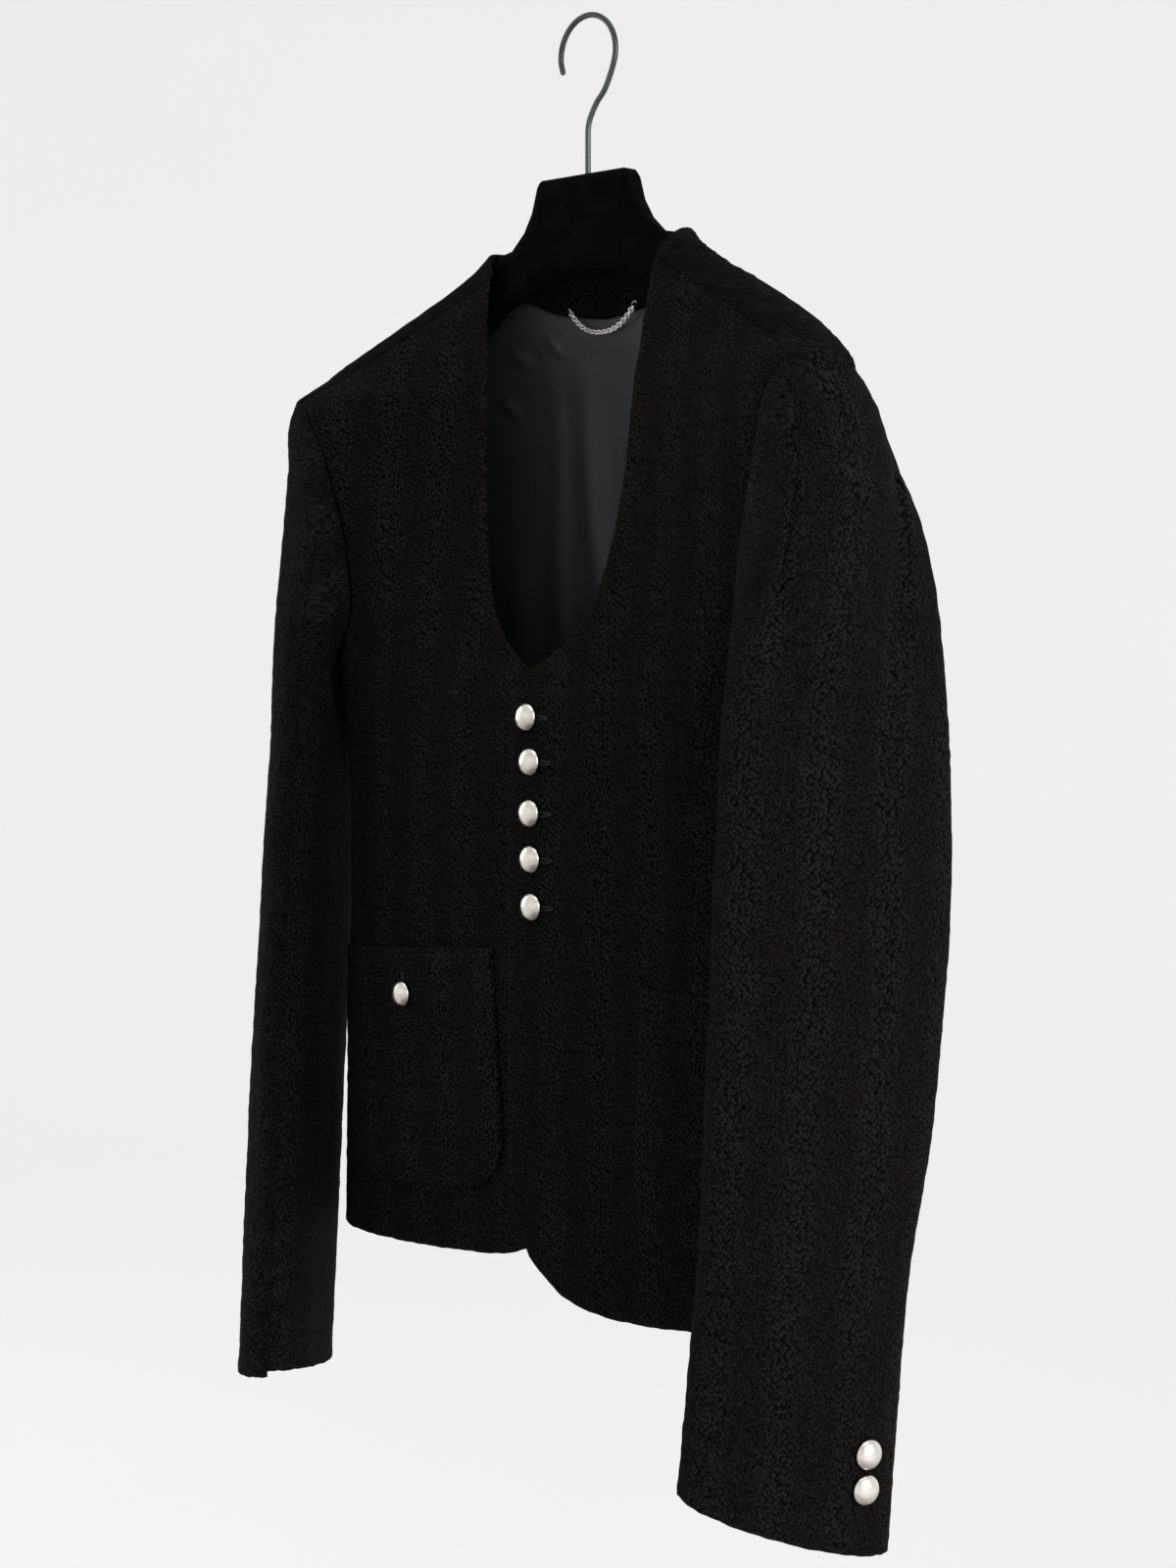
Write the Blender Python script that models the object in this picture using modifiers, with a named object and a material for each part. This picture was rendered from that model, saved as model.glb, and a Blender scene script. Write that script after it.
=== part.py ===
import math

import bpy
import bmesh
import numpy as np
from mathutils import Vector
from mathutils.bvhtree import BVHTree

# A cropped, collarless tweed jacket on a contoured hanger.
# Metres, +Z up, the jacket's front faces -Y, +X is the wearer's left.
# The origin is the inner top of the hanger's hook, where a rail carries it.

# Cloth walls and clearances
CLOTH = 0.0020
LINING = 0.0010
FACING = 0.0015
GAP = 0.0003

# The body's form: one row for each level, from above the neck to below the hem.
# A level is a flattened oval, deeper at the front's sides than at its centre.
BODY_COLUMNS = (
    "height", "half_width", "front_centre", "front_side", "back", "side_shift", "squareness",
)
BODY_LEVELS = (
    (-0.770, 0.203, 0.0500, 0.064, 0.0430, 0.006, 2.8),
    (-0.600, 0.198, 0.0505, 0.066, 0.0450, 0.006, 2.8),
    (-0.460, 0.190, 0.0505, 0.064, 0.0450, 0.004, 2.9),
    (-0.395, 0.1935, 0.0485, 0.060, 0.0430, -0.002, 3.0),
    (-0.360, 0.196, 0.0400, 0.060, 0.0410, -0.008, 2.8),
    (-0.307, 0.200, 0.0295, 0.061, 0.0380, -0.016, 2.6),
    (-0.250, 0.2165, 0.0225, 0.065, 0.0330, -0.023, 2.9),
    (-0.228, 0.2195, 0.0208, 0.063, 0.0305, -0.026, 3.1),
    (-0.2130, 0.2140, 0.0197, 0.058, 0.0283, -0.026, 3.0),
    (-0.199, 0.200, 0.0190, 0.040, 0.0250, -0.0220, 2.6),
    (-0.166, 0.143, 0.0165, 0.028, 0.0178, -0.0080, 2.5),
    (-0.150, 0.111, 0.0155, 0.020, 0.0165, -0.0040, 2.5),
    (-0.139, 0.0915, 0.0150, 0.017, 0.0175, -0.0015, 2.5),
    (-0.1295, 0.0790, 0.0150, 0.017, 0.0205, 0.0, 2.5),
    (-0.1240, 0.0740, 0.0150, 0.017, 0.0210, 0.0, 2.5),
    (-0.1100, 0.0620, 0.0150, 0.017, 0.0210, 0.0, 2.5),
)
WIDEST_HEIGHT = -0.228         # above it, the body's sides are the shoulders' ridge

# Front edges, hem and necklines: places on the front, across from the centre and in height.
OVERLAP_END = 0.040            # the lap's lift fades out beyond this place
OVERLAP_FADE = 0.035
CUTAWAY_LEFT = ((-0.013, -0.384), (-0.013, -0.560), (-0.013, -0.668), (-0.0095, -0.698),
                (0.004, -0.719))
HEM_LEFT = ((0.004, -0.719), (0.026, -0.7355), (0.068, -0.7445), (0.134, -0.741), (0.200, -0.737))
CUTAWAY_RIGHT = ((0.030, -0.384), (0.030, -0.560), (0.030, -0.655), (0.025, -0.690), (0.010, -0.712))
HEM_RIGHT = ((0.010, -0.712), (-0.014, -0.7205), (-0.070, -0.7265), (-0.134, -0.730),
             (-0.200, -0.733))
NECKLINE = ((0.0, -0.378), (0.028, -0.361), (0.046, -0.331), (0.057, -0.277), (0.0624, -0.205),
            (0.0685, -0.1455))

# Back neck: (face, across, height) from the centre back, up to a peak behind the ridge and over
# it, towards the shoulder seam, which starts where NECKLINE ends.
BACK_NECK = ((-1, 0.0, -0.1400), (-1, 0.036, -0.1385), (-1, 0.060, -0.1335), (-1, 0.0710, -0.1270),
             (1, 0.0770, -0.1310))
HEM_BACK = -0.737

# The armhole: how far round from its top, face of the body (1 front, -1 back), across, height.
ARMHOLE_COLUMNS = ("round", "face", "across", "height")
ARMHOLE = (
    (0.018, 1, 0.2160, -0.2195),
    (0.075, 1, 0.2125, -0.2180),
    (0.10, 1, 0.2072, -0.2150),
    (0.13, 1, 0.1990, -0.2130),
    (0.20, 1, 0.1800, -0.2380),
    (0.28, 1, 0.1700, -0.2720),
    (0.36, 1, 0.1625, -0.3150),
    (0.43, 1, 0.1680, -0.3570),
    (0.50, -1, 0.1930, -0.3930),
    (0.58, -1, 0.1760, -0.3620),
    (0.66, -1, 0.1660, -0.3150),
    (0.75, -1, 0.1680, -0.2700),
    (0.85, -1, 0.1800, -0.2320),
    (0.95, -1, 0.2040, -0.2150),
)
UNDERARM = 0.50
SHOULDER_SEAM_END = 0.13       # where the shoulder seam meets the armhole
BACK_YOKE = 0.84               # above it, the back's rows lie closer and go over the ridge
SEAM_FRONT = 0.31              # sleeve seams, as shares of the turn
SEAM_BACK = 0.79
SIDE_SEAM_HEM = 0.255          # round the body from the centre front, at the hem

# Grid counts, shared by pieces that meet at a seam
SIDE_ROWS = 10
FRONT_ARMHOLE_ROWS = 12
BACK_ARMHOLE_ROWS = 6
OVER_RIDGE_ROWS = 10
NECK_COLUMNS = 8
SHOULDER_COLUMNS = 12
SIDE_SPREAD = 1.4              # how much closer columns lie toward the side
CAP_ROWS = 11
ARM_ROWS = 8
POCKET_ROWS = 10
POCKET_COLUMNS = 19

# Sleeves: centre, half width and half thickness at each level below the elbow's top.
SLEEVE_COLUMNS = ("height", "across", "forward", "half_width", "half_thickness")
SLEEVE_LEVELS = (
    (-0.400, 0.2110, -0.0290, 0.0635, 0.0225),
    (-0.500, 0.2145, -0.0345, 0.0655, 0.0230),
    (-0.600, 0.2141, -0.0432, 0.0635, 0.0235),
    (-0.700, 0.2104, -0.0533, 0.0575, 0.0250),
    (-0.824, 0.2070, -0.0640, 0.0580, 0.0240),
)
SLEEVE_TURN = math.radians(32)     # the front fold is turned in toward the centre front
SLEEVE_TOP = -0.430                # first level that is a whole oval
SLEEVE_END = -0.824
CUFF_RISE_FRONT = 0.018
CUFF_RISE_INSIDE = 0.0055
CUFF_GIRTH = 0.27
CAP_ROUNDNESS = 0.87
CAP_FALL = 0.80
CAP_SETBACK = 0.0165               # how far back the sleeve's head lies on its outer side, at most
CAP_SETBACK_START = 1.6            # powers that make it start at the armhole and fade out
CAP_SETBACK_FADE = 3.0
FALL_STEP = 0.010                  # how far below SLEEVE_TOP the sleeve's own fall is taken
SHARE_STEP = 0.004                 # for slopes on the sleeve's form
ARMHOLE_STEP = 0.001               # for the armhole's own direction
PLACE_STEP = 0.0006                # for slopes on the body's form
VENT_STEP = 0.004                  # the under sleeve ends this much above the top sleeve

# Pockets: middle, tilt, size
POCKET_HEIGHT = 0.143
POCKET_CORNER = 0.034
POCKETS = {
    "right": {
        "across": -0.0990, "height": -0.6190, "width": 0.153, "tilt": 4.5,
        "lift": CLOTH + 2 * GAP,
    },
    "left": {
        "across": 0.1630, "height": -0.6280, "width": 0.147, "tilt": -2.0,
        "lift": CLOTH + 3 * GAP,
    },
}

# Buttons
BUTTON_RADIUS = 0.0082
BUTTON_HEIGHT = 0.0056
FRONT_BUTTONS = ((0.0022, -0.4055), (0.0060, -0.4310), (0.0062, -0.4605), (0.0070, -0.4870),
                 (0.0077, -0.5145))
POCKET_BUTTONS = {"right": (-0.1065, -0.5760), "left": (0.1690, -0.5850)}
CUFF_BUTTON_ROUND = 0.895          # share of the turn from the outer line
CUFF_BUTTON_RISES = (0.0335, 0.0515)
BUTTON_STEPS = 12
BUTTON_PROFILE = (                 # shares of the radius and of the height, down the outer side
    (0.0, 1.0),
    (0.45, 0.93),
    (0.80, 0.68),
    (1.0, 0.32),
    (0.88, 0.16),
    (0.36, 0.14),
    (0.36, 0.0),
    (0.0, 0.0),
)

# Facing inside the back neck, in rows and columns of the back's grid
FACING_DEPTH = 0.031
FACING_ROWS = 2
FACING_COLUMNS = 6

# Hanger: sections of its neck, then of its arms, whose tops carry the cloth
HANGER_NECK = (                # across, top, bottom, half thickness, squareness
    (0.000, -0.0900, -0.1430, 0.0082, 6.0),
    (0.020, -0.0900, -0.1450, 0.0082, 6.0),
    (0.0335, -0.0900, -0.1485, 0.0082, 6.0),
    (0.0360, -0.0925, -0.1495, 0.0080, 5.0),
    (0.0405, -0.1060, -0.1512, 0.0078, 4.0),
    (0.0480, -0.1175, -0.1540, 0.0074, 3.5),
    (0.0600, -0.1280, -0.1610, 0.0070, 3.0),
)
HANGER_ARM = (                 # across, depth, half thickness, squareness
    (0.0720, 0.036, 0.0066, 2.4),
    (0.0780, 0.037, 0.0066, 2.4),
    (0.0860, 0.037, 0.0068, 2.2),
    (0.0950, 0.037, 0.0072, 2.2),
    (0.1050, 0.036, 0.0078, 2.2),
    (0.1150, 0.036, 0.0085, 2.2),
    (0.1270, 0.035, 0.0096, 2.2),
    (0.1400, 0.034, 0.0108, 2.2),
    (0.1550, 0.032, 0.0118, 2.2),
    (0.1700, 0.030, 0.0125, 2.2),
    (0.1820, 0.026, 0.0120, 2.2),
    (0.1900, 0.020, 0.0105, 2.2),
    (0.1960, 0.012, 0.0070, 2.2),
    (0.1990, 0.006, 0.0035, 2.0),
)
HANGER_SEAT = 0.0006           # straight down from the cloth to the hanger
HANGER_SIDES = 16
SEAT_PROBES = np.linspace(-0.98, 0.98, 15)     # across the arm's thickness, where its top is tried
SEAT_STEPS = (-0.005, -0.0025, 0.0, 0.0025, 0.005)    # along the arm, either side of a section
WIRE_RADIUS = 0.0017
HOOK_RADIUS = 0.0205           # to the inside of the hook
HOOK_STEM = ((0.0, -0.0897), (0.0, -0.0740), (0.0006, -0.0610), (0.0062, -0.0505), (0.0140, -0.0420))
HOOK_ANGLES = (-25, 205)       # the bow's start and free end, in degrees from +X

# Hanger loop at the back neck
LOOP_HALF = 0.027
LOOP_TOP = -0.1650
LOOP_SAG = 0.0150
LOOP_RADIUS = 0.0015

COLOURS = {
    "tweed": ((0.018, 0.018, 0.020), 0.92, 0.0),
    "lining": ((0.075, 0.070, 0.080), 0.40, 0.0),
    "button": ((0.62, 0.61, 0.60), 0.38, 1.0),
    "hanger": ((0.010, 0.010, 0.012), 0.80, 0.0),
    "wire": ((0.10, 0.11, 0.10), 0.40, 1.0),
    "chain": ((0.60, 0.60, 0.62), 0.25, 1.0),
}


def clear_scene():
    for item in list(bpy.data.objects):
        bpy.data.objects.remove(item, do_unlink=True)


def make_collection(name):
    collection = bpy.data.collections.new(name)
    bpy.context.scene.collection.children.link(collection)
    return collection


def make_material(name, kind):
    colour, roughness, metallic = COLOURS[kind]
    material = bpy.data.materials.new(name)
    material.use_nodes = True
    shader = material.node_tree.nodes["Principled BSDF"]
    shader.inputs["Base Color"].default_value = (*colour, 1.0)
    shader.inputs["Roughness"].default_value = roughness
    shader.inputs["Metallic"].default_value = metallic
    material.diffuse_color = (*colour, 1.0)
    return material


# Curves ------------------------------------------------------------------


def column(table, columns, name):
    """One named column of a table, as an array."""
    return np.array([row[columns.index(name)] for row in table], dtype=float)


def smooth(knots, values, at):
    """A smooth curve through a table's column that never overshoots it."""
    knots = np.asarray(knots, dtype=float)
    values = np.asarray(values, dtype=float)
    at = np.clip(np.asarray(at, dtype=float), knots[0], knots[-1])
    step = np.diff(knots)
    slope = np.diff(values) / step
    tangent = np.zeros(len(knots))
    product = slope[:-1] * slope[1:]
    total = np.where(product > 0, slope[:-1] + slope[1:], 1.0)
    tangent[1:-1] = np.where(product > 0, 2 * product / total, 0.0)
    tangent[0] = slope[0]
    tangent[-1] = slope[-1]
    cell = np.clip(np.searchsorted(knots, at) - 1, 0, len(step) - 1)
    width = step[cell]
    t = (at - knots[cell]) / width
    first = (2 * t**3 - 3 * t**2 + 1) * values[cell] + (t**3 - 2 * t**2 + t) * width * tangent[cell]
    second = (3 * t**2 - 2 * t**3) * values[cell + 1] + (t**3 - t**2) * width * tangent[cell + 1]
    return first + second


def spline(points, count=0, shares=None):
    """Places along a Catmull-Rom curve through a few points: evenly spaced, or at shares of it."""
    points = np.asarray(points, dtype=float)
    padded = np.vstack([2 * points[0] - points[1], points, 2 * points[-1] - points[-2]])
    pieces = []
    for i in range(len(points) - 1):
        a, b, c, d = padded[i:i + 4]
        t = np.linspace(0, 1, 24, endpoint=i == len(points) - 2)[:, None]
        pieces.append(0.5 * (2 * b + (c - a) * t + (2 * a - 5 * b + 4 * c - d) * t**2
                             + (3 * b - a - 3 * c + d) * t**3))
    dense = np.vstack(pieces)
    length = np.concatenate([[0], np.cumsum(np.linalg.norm(np.diff(dense, axis=0), axis=1))])
    run = length[-1] * (np.linspace(0, 1, count) if shares is None else shares)
    return np.stack([np.interp(run, length, dense[:, k]) for k in range(dense.shape[1])], axis=1)


def unit(vectors):
    return vectors / np.linalg.norm(vectors, axis=-1, keepdims=True)


# The body's form ---------------------------------------------------------


def level(heights):
    """The oval's sizes at each height, as a dictionary of arrays."""
    table = BODY_LEVELS
    knots = column(table, BODY_COLUMNS, "height")
    return {
        name: smooth(knots, column(table, BODY_COLUMNS, name), heights)
        for name in BODY_COLUMNS[1:]
    }


def oval(size, angle):
    """Across and forward places on an oval, from 0 at the centre front to pi at the back."""
    power = 2 / size["squareness"]
    share = np.abs(np.sin(angle)) ** power
    depth = np.abs(np.cos(angle)) ** power
    front = size["front_centre"] + (size["front_side"] - size["front_centre"]) * share**2
    forward = np.where(angle <= math.pi / 2, -front * depth, size["back"] * depth)
    return size["half_width"] * share, forward + size["side_shift"] * share**2


ANGLES = math.pi * np.linspace(0, 1, 241)


def lengths(heights):
    """Length round the half oval at each height, for every one of ANGLES."""
    size = {name: value[:, None] for name, value in level(heights).items()}
    across, forward = oval(size, ANGLES[None, :])
    steps = np.hypot(np.diff(across, axis=1), np.diff(forward, axis=1))
    return np.hstack([np.zeros((len(heights), 1)), np.cumsum(steps, axis=1)])


def around(across, height, face):
    """Length round the body from the centre front to a place across, on the front or back."""
    run = lengths(np.atleast_1d(float(height)))[0]
    size = level(np.atleast_1d(float(height)))
    share = min(abs(across) / size["half_width"][0], 1.0)
    angle = math.asin(share ** (size["squareness"][0] / 2))
    if face < 0:
        angle = math.pi - angle
    return float(np.interp(angle, ANGLES, run)) * (1 if across >= 0 else -1)


def body_place(place):
    """Points on the body for places (length round from the centre front, height)."""
    place = np.asarray(place, dtype=float)
    flat = place.reshape(-1, 2)
    heights = flat[:, 1]
    runs = lengths(heights)
    angle = np.array([np.interp(abs(q), run, ANGLES) for q, run in zip(flat[:, 0], runs)])
    across, forward = oval(level(heights), angle)
    points = np.stack([np.sign(flat[:, 0]) * across, forward, heights], axis=1)
    return points.reshape(*place.shape[:-1], 3)


def body_normal(place):
    """Outward direction of the body at places."""
    place = np.asarray(place, dtype=float)
    step = PLACE_STEP
    side = body_place(place + (step, 0)) - body_place(place - (step, 0))
    rise = body_place(place + (0, step)) - body_place(place - (0, step))
    return unit(np.cross(side, rise))


def lap_lift(place):
    """How far the left front stands off the right one where it laps over it."""
    fade = np.clip((place[..., 0] - OVERLAP_END) / OVERLAP_FADE, 0, 1)
    return (CLOTH + 3 * GAP) * (1 - fade**2 * (3 - 2 * fade))


def toward_side(first, last):
    """Places along a line from the centre to the side, closer together toward the side."""
    share = 1 - (1 - np.linspace(0, 1, SHOULDER_COLUMNS)) ** SIDE_SPREAD
    return first + share[:, None] * (np.asarray(last) - first)


# Meshes ------------------------------------------------------------------


def run_shares(line):
    """How far along a line each of its places lies, from 0 to 1."""
    run = np.concatenate([[0], np.cumsum(np.linalg.norm(np.diff(line, axis=0), axis=1))])
    return run / run[-1]


def coons(bottom, top, left, right):
    """A grid of places between four edges, in rows from the bottom up. Each row keeps its columns
    in order: their shares of the row's width go over from the bottom's to the top's."""
    v = (run_shares(left) / 2 + run_shares(right) / 2)[:, None]
    lowest = (bottom[:, 0] - bottom[0, 0]) / (bottom[-1, 0] - bottom[0, 0])
    highest = (top[:, 0] - top[0, 0]) / (top[-1, 0] - top[0, 0])
    u = (1 - v) * lowest + v * highest
    first = left[:, None]
    last = right[:, None]
    round_body = (1 - u) * first[..., 0] + u * last[..., 0]
    height = ((1 - v) * bottom[:, 1] + v * top[:, 1] + (1 - u) * first[..., 1] + u * last[..., 1]
              - (1 - u) * (1 - v) * bottom[0, 1] - u * (1 - v) * bottom[-1, 1]
              - (1 - u) * v * top[0, 1] - u * v * top[-1, 1])
    return np.stack([round_body, height], axis=-1)


def wall(name, outer, inner, kind, collection, mirrored=False):
    """A closed wall between two grids of points, with rims on its four edges. A mirrored wall's
    first column lies on the centre line, where its other half begins."""
    rows, columns = outer.shape[:2]
    if mirrored:
        outer[:, 0, 0] = 0.0
        inner[:, 0, 0] = 0.0
    points = np.concatenate([outer.reshape(-1, 3), inner.reshape(-1, 3)])
    offset = rows * columns
    faces = []
    for r in range(rows - 1):
        for c in range(columns - 1):
            a = r * columns + c + 1
            b = a - 1 + columns
            for third in (a - 1, b + 1):     # one diagonal, the way the ridge runs, so layers nest
                faces.append((a, third, b))
                faces.append((offset + a, offset + b, offset + third))
    border = [c for c in range(columns)]
    border += [r * columns + columns - 1 for r in range(1, rows)]
    border += [(rows - 1) * columns + c for c in range(columns - 2, -1, -1)]
    border += [r * columns for r in range(rows - 2, 0, -1)]
    for a, b in zip(border, border[1:] + border[:1]):
        on_centre = a % columns == 0 and b % columns == 0
        if not (mirrored and on_centre):
            faces.append((a, a + offset, b + offset, b))
    item = mesh_object(name, points, faces, kind, collection)
    if mirrored:
        mirror = item.modifiers.new("other half", "MIRROR")
        mirror.merge_threshold = 0.0001
    return item


def mesh_object(name, points, faces, kind, collection):
    mesh = bpy.data.meshes.new(name)
    mesh.from_pydata([tuple(p) for p in points], [], faces)
    work = bmesh.new()
    work.from_mesh(mesh)
    bmesh.ops.recalc_face_normals(work, faces=work.faces)
    work.to_mesh(mesh)
    work.free()
    mesh.shade_smooth()
    mesh.set_sharp_from_angle(angle=math.radians(40))
    mesh.materials.append(make_material(name, kind))
    item = bpy.data.objects.new(name, mesh)
    collection.objects.link(item)
    return item


def cloth_on_body(name, place, lift, thickness, kind, collection, mirrored=False):
    """A wall whose outer face stands the given lift off the body's form."""
    points = body_place(place)
    normals = body_normal(place)
    outer = points + normals * np.asarray(lift)[..., None]
    return wall(name, outer, outer - normals * thickness, kind, collection, mirrored)


# Panels ------------------------------------------------------------------


def armhole_places(shares):
    """Places along the armhole on the wearer's left, by share of its turn from the top."""
    turn = column(ARMHOLE, ARMHOLE_COLUMNS, "round")
    places = np.array([(around(row[2], row[3], row[1]), row[3]) for row in ARMHOLE])
    closed = np.vstack([places, places, places])
    rounds = np.concatenate([turn - 1, turn, turn + 1])
    return np.stack([cubic(rounds, closed[:, k], shares) for k in range(2)], axis=1)


def cubic(knots, values, at):
    """Catmull-Rom through unevenly spaced knots."""
    slope = np.gradient(values, knots)
    cell = np.clip(np.searchsorted(knots, at, side="right") - 1, 0, len(knots) - 2)
    width = knots[cell + 1] - knots[cell]
    t = (at - knots[cell]) / width
    first = (2 * t**3 - 3 * t**2 + 1) * values[cell] + (t**3 - 2 * t**2 + t) * width * slope[cell]
    second = (3 * t**2 - 2 * t**3) * values[cell + 1] + (t**3 - t**2) * width * slope[cell + 1]
    return first + second


def armhole_shares():
    """Shares of the turn at which both the body's edge and the sleeve's edge have points."""
    front = np.linspace(SHOULDER_SEAM_END, UNDERARM, FRONT_ARMHOLE_ROWS)
    back = np.linspace(UNDERARM, BACK_YOKE, BACK_ARMHOLE_ROWS)
    ridge = np.linspace(BACK_YOKE, 1 + SHOULDER_SEAM_END, OVER_RIDGE_ROWS)
    return front, back, ridge


def front_places(points, side):
    """Turns (across, height) points on the front into places on the left side's form."""
    return np.array([(around(side * across, height, 1), height) for across, height in points])


def front_panel(side, collection):
    """One front: front edge and neckline, hem, side seam and armhole, shoulder seam."""
    left = side > 0
    cutaway = CUTAWAY_LEFT if left else CUTAWAY_RIGHT
    hem = HEM_LEFT if left else HEM_RIGHT
    edge = spline(front_places(cutaway, side), SIDE_ROWS)[::-1]
    neckline = front_places(cutaway[:1] + tuple((side * x, z) for x, z in NECKLINE), side)
    inner_edge = np.vstack([edge, spline(neckline, FRONT_ARMHOLE_ROWS)[1:]])
    armhole = armhole_places(armhole_shares()[0][::-1])
    side_seam = np.linspace((SIDE_SEAM_HEM, HEM_BACK), armhole[0], SIDE_ROWS)
    outer_edge = np.vstack([side_seam, armhole[1:]])
    outer_edge[:, 0] -= GAP / 2
    shoulder = toward_side(inner_edge[-1], armhole[-1])
    shoulder[:, 1] -= GAP / 2
    inner_edge[-1] = shoulder[0]
    outer_edge[-1] = shoulder[-1]
    hem_shares = toward_side(np.zeros(2), np.ones(2))[:, 0]
    hem_line = spline(np.vstack([front_places(hem, side), outer_edge[:1]]), shares=hem_shares)
    place = coons(hem_line, shoulder, inner_edge, outer_edge)
    lift = lap_lift(place) if left else 0.0
    place[..., 0] *= side
    name = "front_left" if left else "front_right"
    return cloth_on_body(name, place, lift, CLOTH, "tweed", collection)


def from_back(places):
    """Turns (length round from the centre back, height) into places round from the centre front,
    or the other way, on the wearer's left."""
    places = np.array(places, dtype=float)
    flat = places.reshape(-1, 2)
    flat[:, 0] = lengths(flat[:, 1])[:, -1] - flat[:, 0]
    return places


def back_grid():
    """Half of the back: centre, neck edge over the ridge, shoulder seam, armhole and side."""
    shares = armhole_shares()
    armhole = armhole_places(np.concatenate([shares[1], shares[2][1:]]))
    side_seam = np.linspace((SIDE_SEAM_HEM, HEM_BACK), armhole[0], SIDE_ROWS)
    side_seam[:, 0] += GAP / 2
    outer_edge = np.vstack([side_seam, armhole[1:]])
    neck = [(around(x, z, face), z) for face, x, z in BACK_NECK + ((1, *NECKLINE[-1]),)]
    shoulder = toward_side(neck[-1], armhole[-1])
    shoulder[:, 1] += GAP / 2
    outer_edge[-1] = shoulder[-1]
    outer_edge = from_back(outer_edge)
    top = np.vstack([spline(from_back(neck), NECK_COLUMNS)[:-1], from_back(shoulder)])
    facing_end = top[0] - (0, FACING_DEPTH)
    underarm = (0, armhole[0, 1])
    yoke = (0, armhole[BACK_ARMHOLE_ROWS - 1, 1])
    centre = np.vstack([
        np.linspace((0, HEM_BACK), underarm, SIDE_ROWS),
        np.linspace(underarm, yoke, BACK_ARMHOLE_ROWS)[1:],
        np.linspace(yoke, facing_end, OVER_RIDGE_ROWS - FACING_ROWS)[1:],
        np.linspace(facing_end, top[0], FACING_ROWS + 1)[1:],
    ])
    hem_line = toward_side(centre[0], outer_edge[0])
    under_neck = np.linspace(hem_line[0], hem_line[2], NECK_COLUMNS + 2)
    hem_line = np.vstack([under_neck[:-1], hem_line[2:]])
    return from_back(coons(hem_line, top, centre, outer_edge))


def back_panel(collection):
    """The back, and inside it the neck facing and the lining, both made from its points."""
    place = back_grid()
    cloth_on_body("back", place, 0.0, CLOTH, "tweed", collection, mirrored=True)
    inside = -CLOTH - GAP
    facing = place[-1 - FACING_ROWS:, :FACING_COLUMNS]
    cloth_on_body("neck_facing", facing, inside, FACING, "tweed", collection, mirrored=True)
    lining = place[1:-FACING_ROWS, :-1].copy()
    lining[-1] += 4 * GAP * unit(lining[-2] - lining[-1])
    cloth_on_body("back_lining", lining, inside, LINING, "lining", collection, mirrored=True)


# Sleeves -----------------------------------------------------------------


def sleeve_oval(height, share):
    """Points round the sleeve at a level, by share of the turn from its outer line."""
    depth = -column(SLEEVE_LEVELS, SLEEVE_COLUMNS, "height")
    size = {
        name: smooth(depth, column(SLEEVE_LEVELS, SLEEVE_COLUMNS, name), -height)
        for name in SLEEVE_COLUMNS[1:]
    }
    turn = 2 * math.pi * share
    fold = size["half_width"] * np.sin(turn)
    face = size["half_thickness"] * np.cos(turn)
    across = size["across"] - fold * math.sin(SLEEVE_TURN) + face * math.cos(SLEEVE_TURN)
    forward = size["forward"] - fold * math.cos(SLEEVE_TURN) - face * math.sin(SLEEVE_TURN)
    down = (height - SLEEVE_TOP) / (SLEEVE_END - SLEEVE_TOP)
    rise = down * (CUFF_RISE_FRONT * np.sin(turn) - CUFF_RISE_INSIDE * np.cos(turn))
    return np.stack([across, forward, height + rise], axis=-1)


def armhole_frame(share):
    """Points on the armhole, with the body's outward direction and the way into the hole."""
    place = armhole_places(share)
    points = body_place(place)
    normals = body_normal(place)
    before = body_place(armhole_places(share - ARMHOLE_STEP))
    after = body_place(armhole_places(share + ARMHOLE_STEP))
    return points, normals, unit(np.cross(normals, after - before))


def sleeve_form(share):
    """A function that gives the sleeve's points at some shares of the turn, on the wearer's left.
    Its argument runs from 0 at the armhole, over 1 at SLEEVE_TOP, to 2 at the cuff. The second
    result is the way into the wall at the armhole."""
    points, normals, inward = armhole_frame(share)
    fold = (0.5 - 0.5 * np.cos(2 * math.pi * share))[:, None]
    leave = unit(inward * (1 - fold) + normals * fold)
    start = points + GAP * leave
    whole = sleeve_oval(np.full(len(share), SLEEVE_TOP), share)
    fall = unit(sleeve_oval(np.full(len(share), SLEEVE_TOP - FALL_STEP), share) - whole)
    reach = np.linalg.norm(whole - start, axis=1, keepdims=True)

    def place(down):
        if down > 1:
            height = SLEEVE_TOP + (down - 1) * (SLEEVE_END - SLEEVE_TOP)
            return sleeve_oval(np.full(len(share), height), share)
        t = down
        cap = ((2 * t**3 - 3 * t**2 + 1) * start
               + (t**3 - 2 * t**2 + t) * reach * CAP_ROUNDNESS * leave
               + (3 * t**2 - 2 * t**3) * whole + (t**3 - t**2) * reach * CAP_FALL * fall)
        most = CAP_SETBACK_START / (CAP_SETBACK_START + CAP_SETBACK_FADE)
        setback = (CAP_SETBACK * (t / most)**CAP_SETBACK_START
                   * ((1 - t) / (1 - most))**CAP_SETBACK_FADE)
        cap[:, 1] += setback * (1 - fold[:, 0]**2)
        return cap

    return place, unit(inward * fold - normals * (1 - fold))


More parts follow.
